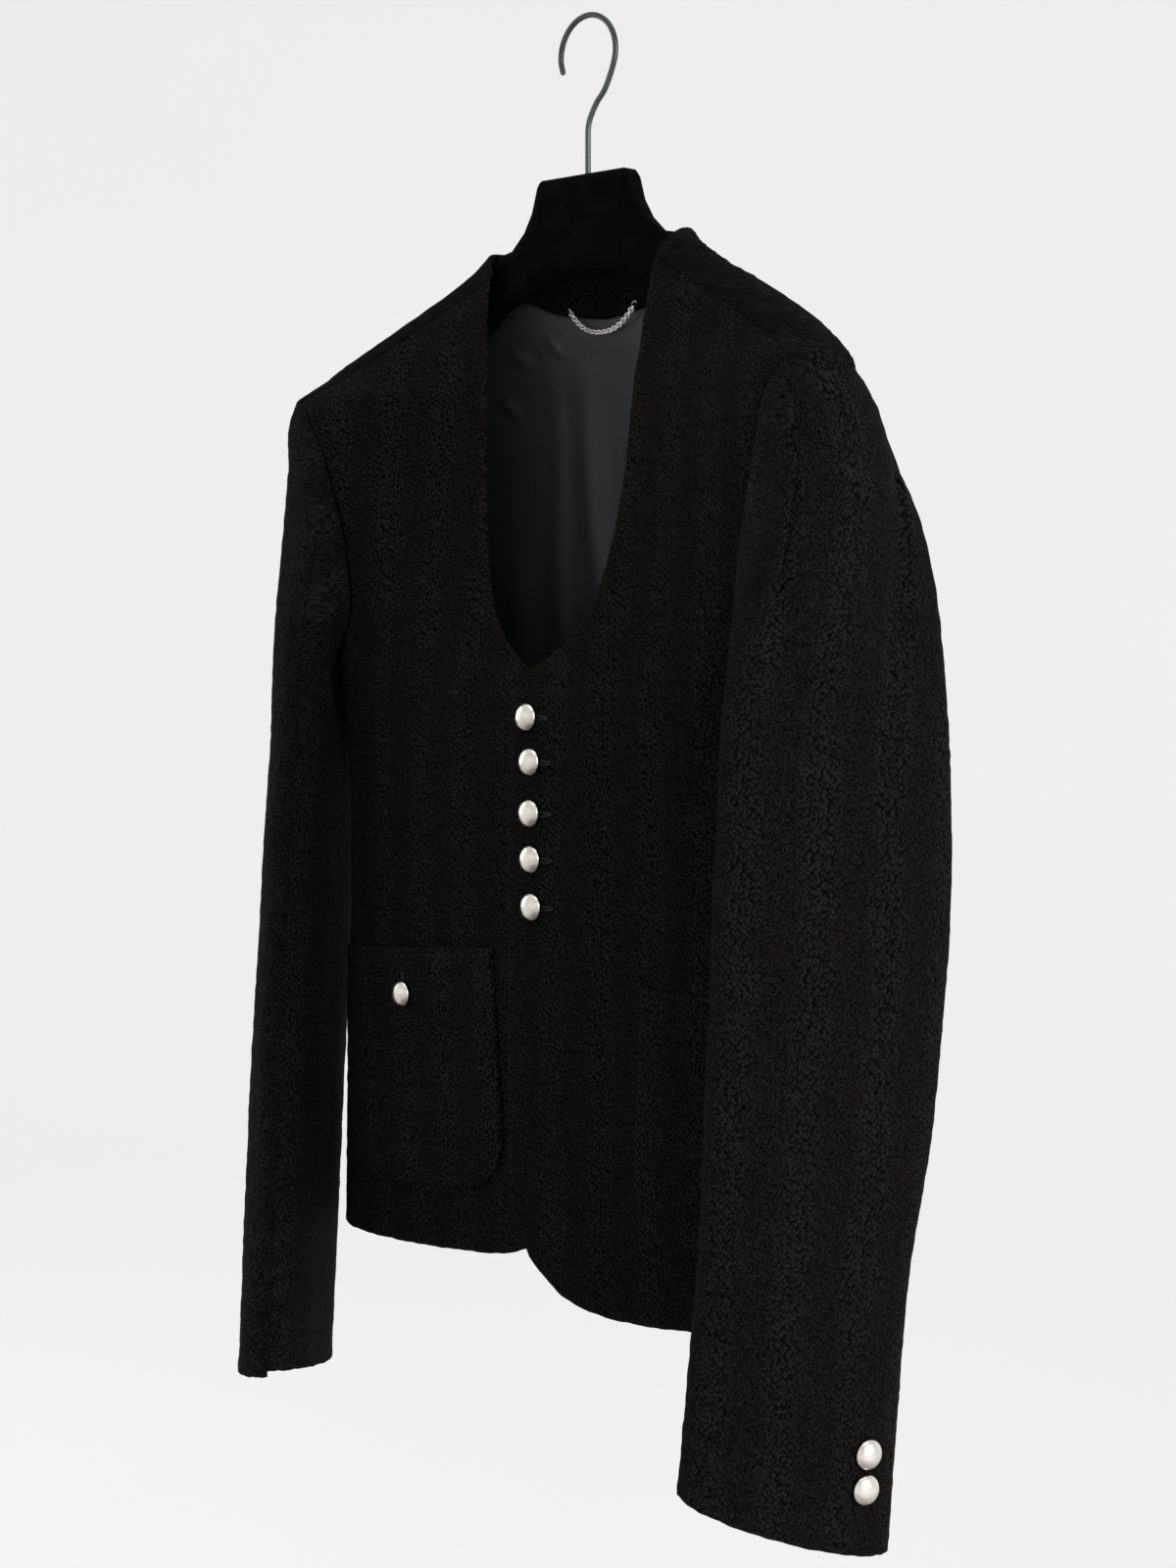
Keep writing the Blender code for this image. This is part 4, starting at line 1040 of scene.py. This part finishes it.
# Sleeves

sleeveCut = {
    # height, across, forward, half width, half thickness
    "levels": (
        (-0.400, 0.2110, -0.0290, 0.0635, 0.0225),
        (-0.500, 0.2145, -0.0345, 0.0655, 0.0230),
        (-0.600, 0.2141, -0.0432, 0.0635, 0.0235),
        (-0.700, 0.2104, -0.0533, 0.0575, 0.0250),
        (-0.824, 0.2070, -0.0640, 0.0580, 0.0240),
    ),
    "turn": math.radians(32),
    "top": -0.430,
    "end": -0.824,
    "riseFront": {1: 0.018, -1: 0.010},
    "riseInside": {1: 0.0055, -1: 0.0},
    "girth": 0.27,
    "roundness": 0.87,
    "fall": 0.80,
    # At most, and the powers of its start and of its fading out, on the wearer's left and right
    "setback": {1: (0.0125, 1.6, 3.0), -1: (0.0185, 1.6, 3.0)},
    "fullness": {1: (0.0048, 1.2, 5.0), -1: (0.0, 1.2, 5.0)},
    "ventStep": 0.004,
    "columns": 64,
    "headRows": 90,
    "armRows": 166,
    "softened": (14, 24),          # passes over the form and over its outward directions
    "easing": 0.0003,              # ripples of the fuller sleeve edge, where it is sewn in
    "easingPlace": 0.006,          # from the seam, and as wide
    "easingWaves": (690, 95),
    "hold": 0.03,                  # below the armhole the creases begin softly
    "creaseUnit": 0.3,             # height that one count down the sleeve stands for
    "seamFront": 0.31,
    "seamBack": 0.79,
    "creases": {                   # share of the turn, down the sleeve, same again, width, height
        1: (
            (0.06, 0.30, 0.10, 0.95, 0.0160, -0.0012),
            (0.28, 0.92, 0.14, 1.10, 0.0110, -0.0010),
            (0.32, 1.12, 0.16, 1.26, 0.0090, 0.0012),
            (0.30, 1.30, 0.18, 1.40, 0.0085, -0.0012),
            (0.02, 1.30, 0.06, 1.80, 0.0200, 0.0010),
            (0.60, 0.70, 0.50, 1.10, 0.0120, -0.0014),
            (0.64, 1.10, 0.52, 1.34, 0.0100, 0.0012),
        ),
        -1: (
            (0.08, 0.36, 0.05, 1.05, 0.0150, -0.0013),
            (0.29, 0.90, 0.15, 1.04, 0.0095, -0.0013),
            (0.33, 1.18, 0.18, 1.30, 0.0095, 0.0013),
            (0.18, 1.20, 0.20, 1.85, 0.0120, -0.0012),
            (-0.03, 1.35, 0.02, 1.85, 0.0190, 0.0010),
            (0.62, 0.80, 0.54, 1.16, 0.0120, -0.0013),
        ),
    },
}


def sleeveOval(height, share, side):
    # Flattened ring round the arm, turned in toward the centre front, its end cut on a slant
    cut = sleeveCut
    table = np.array(cut["levels"])
    across, forward, halfWidth, halfThick = (
        monotone(-table[:, 0], table[:, k], -height) for k in range(1, 5))
    turn = 2 * math.pi * share
    fold, face = halfWidth * np.sin(turn), halfThick * np.cos(turn)
    x = across - fold * math.sin(cut["turn"]) + face * math.cos(cut["turn"])
    y = forward - fold * math.cos(cut["turn"]) - face * math.sin(cut["turn"])
    down = (height - cut["top"]) / (cut["end"] - cut["top"])
    rise = down * (cut["riseFront"][side] * np.sin(turn)
                   - cut["riseInside"][side] * np.cos(turn))
    return np.stack([x, y, height + rise], axis=-1)


def swell(t, most, rise, fade):
    # Zero at both ends of the sleeve's head, with one soft peak between
    peak = rise / (rise + fade)
    return most * (t / peak) ** rise * ((1 - t) / (1 - peak)) ** fade


def sleeveForm(share, downs, side):
    # Points, rows down the sleeve: a cubic from the armhole to the first whole ring, then rings
    cut = sleeveCut
    place = armholePlaces(share)
    points, normals = bodyPlace(place), bodyNormal(place)
    ahead = bodyPlace(armholePlaces(share + 0.001)) - bodyPlace(armholePlaces(share - 0.001))
    inward = unit(np.cross(normals, ahead))
    fold = (0.5 - 0.5 * np.cos(2 * math.pi * share))[:, None]
    leave = unit(inward * (1 - fold) + normals * fold)
    start = points + cloth["gap"] * leave
    top = np.full(len(share), cut["top"])
    whole = sleeveOval(top, share, side)
    fall = unit(sleeveOval(top - 0.01, share, side) - whole)
    reach = np.linalg.norm(whole - start, axis=1, keepdims=True)
    t = np.clip(downs, 0, 1)[:, None, None]
    cap = cubic(t, start, whole, reach * cut["roundness"] * leave, reach * cut["fall"] * fall)
    outside = (1 - fold**2)[..., 0]
    cap[..., 1] += swell(t, *cut["setback"][side])[..., 0] * outside
    cap[..., 2] += swell(t, *cut["fullness"][side])[..., 0] * outside**4
    height = cut["top"] + (downs - 1) * (cut["end"] - cut["top"])
    height = np.clip(height, cut["end"] - 0.02, cut["top"])
    rings = sleeveOval(np.repeat(height[:, None], len(share), 1), share[None, :], side)
    edge = unit(inward * fold - normals * (1 - fold))
    return np.where(t < 1, cap, rings), edge


def sleeveWall(share, downs, side):
    # Outer points and the directions out of the wall
    outer, edge = sleeveForm(share, downs, side)
    step = 0.004
    ahead = sleeveForm(share + step, downs, side)[0] - sleeveForm(share - step, downs, side)[0]
    fall = (sleeveForm(share, downs + step, side)[0]
            - sleeveForm(share, np.maximum(downs - step, 0), side)[0])
    outward = -unit(np.cross(fall, ahead))
    outward[0] = -edge
    return outer, outward


def sleeveParts():
    # Shares of the turn that the top sleeve and the under sleeve take
    front, back, ridge = armholeShares()
    shares = np.concatenate([front, back[1:], ridge[1:]])
    first = shares[np.argmin(abs(shares - sleeveCut["seamFront"]))]
    last = shares[np.argmin(abs(shares - sleeveCut["seamBack"]))]
    half = cloth["gap"] / 4 / sleeveCut["girth"]
    return {"top": (last - 1 + half, first - half), "under": (first + half, last - half)}


def soften(grid, passes):
    # Each inner point goes halfway to the mean of its four neighbours, and the edges stay
    grid = grid.copy()
    for _ in range(passes):
        mean = (grid[:-2, 1:-1] + grid[2:, 1:-1] + grid[1:-1, :-2] + grid[1:-1, 2:]) / 4
        grid[1:-1, 1:-1] = (grid[1:-1, 1:-1] + mean) / 2
    return grid


def grain(points, rise, middle):
    # Places in the uncut cloth: rise is the height in it, and the widths run out from one column
    over = np.linalg.norm(np.diff(points, axis=1), axis=-1)
    level = np.sqrt(np.maximum(over**2 - np.diff(rise, axis=1) ** 2, (0.85 * over) ** 2))
    run = np.hstack([np.zeros((len(points), 1)), np.cumsum(level, axis=1)])
    return np.stack([run - run[:, middle:middle + 1], rise], -1)


def makeSleeve(side, part):
    # One of the two cloths of a sleeve: the form between two seams, with creases and easing
    word = "left" if side > 0 else "right"
    start, end = sleeveParts()[part]
    shorten = sleeveCut["ventStep"] / (sleeveCut["top"] - sleeveCut["end"])
    finish = 2 - (shorten if part == "under" else 0)
    share = np.linspace(start, end, sleeveCut["columns"])
    downs = np.concatenate([np.linspace(0, 1, sleeveCut["headRows"]),
                            np.linspace(1, finish, sleeveCut["armRows"])[1:]])
    outer, outward = [soften(grid, passes) for grid, passes in zip(
        sleeveWall(share, downs, side), sleeveCut["softened"])]
    outward = unit(outward)
    distances = edgeDistances(outer)
    girth = sleeveCut["girth"]
    flat = grain(outer, distances["top"], np.argmin(abs(share - (0.0 if part == "top" else 0.5))))
    long, below = sleeveCut["creaseUnit"], distances["bottom"]
    where = np.stack(np.broadcast_arrays(share[None, :] * girth, downs[:, None] * long), -1)
    creases = [(a * girth, b * long, c * girth, d * long, w, h)
               for a, b, c, d, w, h in sleeveCut["creases"][side]]
    folds = relief(where, creases) * (1 - np.exp(-(below / sleeveCut["hold"]) ** 2))
    close, slow = (flat[..., 0] * rate for rate in sleeveCut["easingWaves"])
    near = sleeveCut["easingPlace"]
    ease = sleeveCut["easing"] * np.exp(-((below - near) / near) ** 2)
    ease = ease * np.sin(close + 1.3 * np.sin(slow))
    flip = (side, 1, 1)
    item = panel(
        f"sleeve_{part}_{word}_cloth", (outer * flip, outward * flip), flat * (-side, 1), folds,
        {"bottom": 0.45, "first": 0.2, "last": 0.2}, {"top": 1.0}, tweedSleeve, 1.15, ease)
    settle(item, "tweed", f"sleeve_{part}_{word}")


for side in (1, -1):
    for part in ("top", "under"):
        makeSleeve(side, part)
print("sleeves made")

# Pockets

pocketCut = {
    "height": 0.143,
    "corner": 0.034,
    "grid": (74, 70),
    "spread": 1.35,                # rows lie closer at the round corners
    "gapeFade": 0.018,             # how far down the open edge stands off
    "right": {"across": -0.0990, "height": -0.6190, "width": 0.153, "tilt": 4.5, "gaps": 2,
              "gape": 0.0010, "seam": 0.60},
    "left": {"across": 0.1630, "height": -0.6280, "width": 0.147, "tilt": -2.0, "gaps": 3,
             "gape": 0.0003, "seam": 0.50},
}


def makePocket(word):
    # A rectangle with two round corners, turned by its tilt and laid on the front
    side = 1 if word == "left" else -1
    spec = pocketCut[word]
    whole, corner = pocketCut["height"], pocketCut["corner"]
    rows, columns = pocketCut["grid"]
    share = np.linspace(0, 1, rows) ** pocketCut["spread"]
    height = whole * share
    below = np.clip(corner - height, 0, None)
    half = spec["width"] / 2 - corner + np.sqrt(corner**2 - below**2)
    across = half[:, None] * np.linspace(-1, 1, columns)[None, :]
    up = (height - whole / 2)[:, None] * np.ones((1, columns))
    tilt = math.radians(spec["tilt"])
    middle = around(side * spec["across"], spec["height"], 1)
    place = np.stack([
        middle + side * (across * math.cos(tilt) - up * math.sin(tilt)),
        spec["height"] + across * math.sin(tilt) + up * math.cos(tilt)], axis=-1)
    lift = cloth["thick"] + spec["gaps"] * cloth["gap"]
    lift = lift + (lapLift(place) if side > 0 else 0.0)
    place = place * (side, 1)
    flat = np.stack([side * across + side * middle, up + spec["height"]], axis=-1)
    gape = np.exp(-((whole - height[:, None]) / pocketCut["gapeFade"]) ** 2)
    gape = gape * (1 - (across / half[:, None]) ** 2)
    lift = lift + spec["gape"] * gape
    item = panel(
        f"pocket_{word}_cloth", (bodyPlace(place), bodyNormal(place)), flat,
        lift + relief(place, frontCut["creases"]),
        {key: spec["seam"] for key in ("bottom", "first", "last")}, {"top": 0.5}, tweedPocket)
    settle(item, "tweed", f"pocket_{word}")


for word in ("left", "right"):
    makePocket(word)
print("pockets made")

# Buttons and buttonholes

buttonMake = {
    "radius": 0.0082,
    "height": 0.0056,
    "turns": 56,
    "profile": ((0.0, 1.0), (0.22, 0.985), (0.45, 0.93), (0.66, 0.815), (0.82, 0.665),
                (0.93, 0.50), (0.985, 0.38), (1.0, 0.31), (0.985, 0.24), (0.93, 0.19),
                (0.84, 0.165), (0.60, 0.15), (0.38, 0.145), (0.35, 0.12), (0.35, 0.02),
                (0.30, 0.0), (0.0, 0.0)),
    "front": ((0.0022, -0.4055), (0.0060, -0.4310), (0.0062, -0.4605), (0.0070, -0.4870),
              (0.0077, -0.5145)),
    "pocket": {"right": (-0.1065, -0.5760), "left": (0.1690, -0.5850)},
    "cuffRound": 0.895,
    "cuffRises": (0.0335, 0.0515),
    "hole": (-0.0025, 0.0200),     # where it starts from the button, and its length
    "pocketHole": (-0.0040, 0.0165),
    "slot": 0.0011,                # half its width
    "cord": 0.00052,
    "cordLift": 0.00015,           # of the cord's middle, over the cloth
    "paintedShadeFade": 1.6,                # power by which the painted shade fades toward the top
}


def makeButton(name, node, point, normal):
    # A turned dome: its profile carried round the cloth's normal, with a rolled rim and a shank
    profile = np.array(buttonMake["profile"]) * (buttonMake["radius"], buttonMake["height"])
    ring = profile[1:-1]
    turn = circleAngles(buttonMake["turns"])
    normal = unit(np.asarray(normal, float))
    right = unit(np.cross(normal, (0.0, 0.0, 1.0)))
    up = np.cross(right, normal)
    circle = np.cos(turn)[:, None] * right + np.sin(turn)[:, None] * up
    body = (point + ring[:, 0, None, None] * circle[None] + ring[:, 1, None, None] * normal)
    index = np.arange(len(ring) * len(turn)).reshape(-1, len(turn))
    points = np.concatenate([body.reshape(-1, 3), [point + normal * profile[0, 1]], [point]])
    faces = ringQuads(index).tolist()
    for row, tip in ((index[0, ::-1], len(points) - 2), (index[-1], len(points) - 1)):
        faces += np.stack([row, np.roll(row, -1), np.full(len(row), tip)], -1).tolist()
    # Painted shade: the lower side of the rim is darkened as a dark reflection would show, and the
    # centre of the base fully
    low = np.clip(-0.95 * np.sin(turn) - 0.35 * np.cos(turn), 0, 1)
    share = (ring[:, :1] / buttonMake["radius"]) ** buttonMake["paintedShadeFade"]
    paintedLightMask = np.concatenate([(share * low).ravel(), [0.0, 1.0]])
    settle(makeObject(name, points, faces, None, paintedLightMask, silver), "button", node)


def onFront(across, height, lift, over=0.0, up=0.0):
    # Points at a height over a front, round one place on it, with the directions out of it
    place = np.stack(np.broadcast_arrays(around(across, height, 1) + over, height + up), -1)
    lift = lift + relief(place, frontCut["creases"]) + (lapLift(place) if across >= 0 else 0.0)
    normal = bodyNormal(place)
    return bodyPlace(place) + normal * lift[..., None], normal


def makeHole(name, across, height, stack, upright, start, length):
    # A worked buttonhole: a cord of close stitches round a narrow slot, wider at one end
    turn = circleAngles(72)
    run = start + length * (0.5 + 0.5 * np.cos(turn))
    wide = buttonMake["slot"] * np.sin(turn) * (1 + 0.5 * np.exp(-((np.cos(turn) + 1) / 0.3) ** 2))
    over, rise = (wide, run) if upright else (run, wide)
    path, normal = onFront(across, height, stack + buttonMake["cordLift"], over, rise)
    points, faces = tube(path, buttonMake["cord"], 8, normal, closed=True)
    run = runLength(path)
    uv = np.stack([np.repeat(run, 8), np.tile(np.arange(8) / 8 * 0.003, len(run))], -1)
    settle(makeObject(name, points, faces, uv, None, thread), "tweed")


for i, (across, height) in enumerate(buttonMake["front"]):
    point, normal = onFront(across, height, cloth["gap"])
    makeButton(f"front_button_{i + 1}_silver", f"front_button_{i + 1}", point, normal)
    makeHole(f"front_buttonhole_{i + 1}", across, height, 0.0, False, *buttonMake["hole"])
for word, (across, height) in buttonMake["pocket"].items():
    stack = cloth["thick"] + pocketCut[word]["gaps"] * cloth["gap"]
    point, normal = onFront(across, height, stack + cloth["gap"])
    makeButton(f"pocket_button_{word}_silver", f"pocket_button_{word}", point, normal)
    makeHole(f"pocket_buttonhole_{word}", across, height, stack + 0.0002, True,
             *buttonMake["pocketHole"])
for side, word in ((1, "left"), (-1, "right")):
    for i, rise in enumerate(buttonMake["cuffRises"]):
        down = 2 - rise / (sleeveCut["top"] - sleeveCut["end"])
        outer, outward = sleeveWall(
            np.array([buttonMake["cuffRound"]]), np.array([1.5, down]), side)
        normal = outward[1, 0] * (side, 1, 1)
        point = outer[1, 0] * (side, 1, 1) + normal * cloth["gap"]
        makeButton(f"cuff_button_{word}_{i + 1}_silver", f"cuff_button_{word}_{i + 1}",
                   point, normal)
print("buttons made")

# Chain loop at the back neck

loopMake = {
    "half": 0.027,
    "top": -0.1650,
    "sag": 0.0150,
    "pitch": 0.00205,
    "link": (0.00185, 0.00128, 0.00042),   # half length, half width, wire
    "roll": 38.0,
    "off": 0.0015,                 # of the facing
    "hang": 2.4,                   # power of the hanging line
    "stitch": (0.0017, 0.00028, 0.0006),   # radius, thread, spacing
    "stitches": 4,
}


def makeLoop():
    # Oval links along the hanging line, each rolled against the last one
    make = loopMake
    place = np.array([around(make["half"], make["top"], -1), make["top"]])
    facing = bodyPlace(place)[1] - cloth["thick"] - cloth["gap"] - cloth["facing"]
    forward = facing - cloth["gap"] - make["off"]
    s = np.linspace(-1, 1, 400)
    line = np.stack([make["half"] * s, np.full(400, forward),
                     make["top"] - make["sag"] * (1 - np.abs(s) ** make["hang"])], -1)
    run = runLength(line)
    count = int(run[-1] / make["pitch"])
    at = (np.arange(count) + 0.5) * run[-1] / count
    centre = np.stack([np.interp(at, run, line[:, k]) for k in range(3)], -1)
    tangent = unit(np.stack([np.interp(at, run, g) for g in np.gradient(line, axis=0).T], -1))
    out = np.array([0.0, -1.0, 0.0])
    side = np.cross(tangent, out)
    turn = circleAngles(20)
    halfLong, halfWide, wireRadius = make["link"]
    oval = np.stack([halfLong * np.cos(turn), halfWide * np.sin(turn), 0 * turn], -1)
    link, faces = tube(oval, wireRadius, 8, np.array([0.0, 0.0, 1.0]), closed=True)
    roll = np.radians(make["roll"]) * np.where(np.arange(count) % 2, 1, -1)
    flat = np.cos(roll)[:, None] * side + np.sin(roll)[:, None] * out
    deep = -np.sin(roll)[:, None] * side + np.cos(roll)[:, None] * out
    axes = np.stack([tangent, flat, deep], 1)
    points = centre[:, None] + np.einsum("vk,lkc->lvc", link, axes)
    quads = faces[None] + (np.arange(count) * len(link))[:, None, None]
    item = makeObject("hanger_loop_chain", points.reshape(-1, 3), quads.reshape(-1, 4),
                      None, None, bright)
    settle(item, "chain", "hanger_loop")
    # Thread that holds each end to the facing
    parts = []
    size, threadRadius, spacing = make["stitch"]
    for end in (0, -1):
        for k in range(make["stitches"]):
            along = (k - (make["stitches"] - 1) / 2) * spacing
            spot = centre[end] + (0, 0.0004, 0) + tangent[end] * along
            loop = spot + size * (0.8 * np.cos(turn)[:, None] * side[end]
                                  + np.sin(turn)[:, None] * out)
            parts.append(tube(loop, threadRadius, 6, tangent[end], closed=True))
    points, faces = joined(parts)
    uv = np.stack([points[:, 0] + points[:, 2], points[:, 1]], -1)
    settle(makeObject("hanger_loop_stitches", points, faces, uv, None, thread), "lining")


makeLoop()
print("loop made")

# Hanger and hook

hookMake = {
    "wire": 0.0017,
    "radius": 0.0205,
    "stem": ((0.0, -0.0897), (0.0, -0.0740), (0.0006, -0.0610), (0.0062, -0.0505),
             (0.0140, -0.0420)),
    "angles": (-25, 205),
}


def makeHook():
    # Wire along a straight stem, a bend and an open circle, with a rounded tip
    radius = hookMake["radius"] + hookMake["wire"]
    turn = np.radians(np.linspace(*hookMake["angles"], 11))
    bow = np.stack([radius * np.cos(turn), radius * np.sin(turn) - hookMake["radius"]], -1)
    line = spline(np.vstack([hookMake["stem"], bow]), 240)
    path = np.stack([line[:, 0], np.zeros(240), line[:, 1]], -1)
    run = runLength(path)
    left = np.clip((run[-1] - run) / hookMake["wire"], 0, 1)
    size = hookMake["wire"] * np.sqrt(np.clip(1 - (1 - left) ** 2, 0.0009, 1))
    points, faces = tube(path, size, 28, np.array([0.0, 1.0, 0.0]))
    item = makeObject("hook_wire_bow", points, faces, None, None, wire, repair=False)
    repaired(item.data, closed=False)
    item.data.shade_smooth()
    settle(item, "wire", "hook")


makeHook()
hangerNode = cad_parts["hanger"]
hangerNode.data.materials.clear()
hangerNode.data.materials.append(flock)
print("hanger made")

# Studio

studio = {
    "floor": -1.30,
    "reach": 3.1,
    "curve": 0.9,
    "wall": 2.6,
    "glow": 0.53,
    "paintedShadow": ((0.25, -0.55), 0.35, 1.25, 0.22),     # painted shadow in the floor's glow: middle, radii where it ends, what is left
    "paint": (0.360, 0.358, 0.352, 1.0),
    "sky": (0.70, 0.697, 0.69, 1.0),
    "lamps": {                     # place, width, height, watts
        "sideLamp": ((2.5, -0.15, 0.15), 1.6, 2.0, 36.0),
        "farLamp": ((-2.4, -0.70, 0.25), 1.4, 1.8, 14.0),
        "topLamp": ((0.35, -0.10, 1.75), 1.8, 1.8, 9.0),
    },
}


def makeStudio():
    # A pale floor that curves up into a wall all round: its profile is carried round the middle
    bend = np.linspace(0, math.pi / 2, 24)
    radius = np.concatenate([[0.02, 1.0, 2.0], studio["reach"] + studio["curve"] * np.sin(bend)])
    height = np.concatenate([[0, 0, 0], studio["curve"] * (1 - np.cos(bend))])
    radius = np.append(radius, radius[-1])
    height = np.append(height, studio["wall"])
    turn = circleAngles(128)
    points = np.stack([radius[:, None] * np.cos(turn), radius[:, None] * np.sin(turn),
                       studio["floor"] + height[:, None] + 0 * turn], -1)
    faces = ringQuads(np.arange(points[..., 0].size).reshape(-1, len(turn)))
    f = Finish("studio_paint", Roughness=0.9, Specular_IOR_Level=0.1,
               Emission_Strength=studio["glow"])
    spot = f.place()
    cloud = f.noise(spot, 1.3, 2.0, "3D")
    # Painted shadow: the floor's glow is dimmed in a pool under the jacket
    middle, full, gone, left = studio["paintedShadow"]
    x, y, _ = f.split(spot)
    away = ((x - middle[0]) ** 2.0 + (y - middle[1]) ** 2.0) ** 0.5
    lit = left + away.ease(full, gone) * (1 - left)
    shade = (0.012, 0.012, 0.012, 1.0)
    f.set({"Base Color": f.mix(cloud, studio["paint"], (0.375, 0.373, 0.367, 1.0)),
           "Emission Color": f.mix(lit, shade, f.mix(cloud, (0.99, 0.985, 0.975, 1.0),
                                                     (1.0, 0.997, 0.99, 1.0)))})
    floor = makeObject("studio_floor", points.reshape(-1, 3), faces, None, None, f.material,
                       repair=False)
    world = bpy.data.worlds.new("studio_air")
    world.use_nodes = True
    world.node_tree.nodes["Background"].inputs[0].default_value = studio["sky"]
    world.node_tree.nodes["Background"].inputs[1].default_value = 1.0
    bpy.context.scene.world = world
    for name, (place, width, tall, watts) in studio["lamps"].items():
        data = bpy.data.lights.new(name, "AREA")
        data.shape = "RECTANGLE"
        data.size, data.size_y, data.energy = width, tall, watts
        lamp = bpy.data.objects.new(name, data)
        bpy.context.scene.collection.objects.link(lamp)
        lamp.location = place
        toward = Vector((0.0, 0.0, -0.45)) - Vector(place)
        lamp.rotation_euler = toward.to_track_quat("-Z", "Y").to_euler()
        lamp.visible_camera = False
    bpy.context.scene.view_settings.view_transform = "Standard"


makeStudio()
print("studio made")
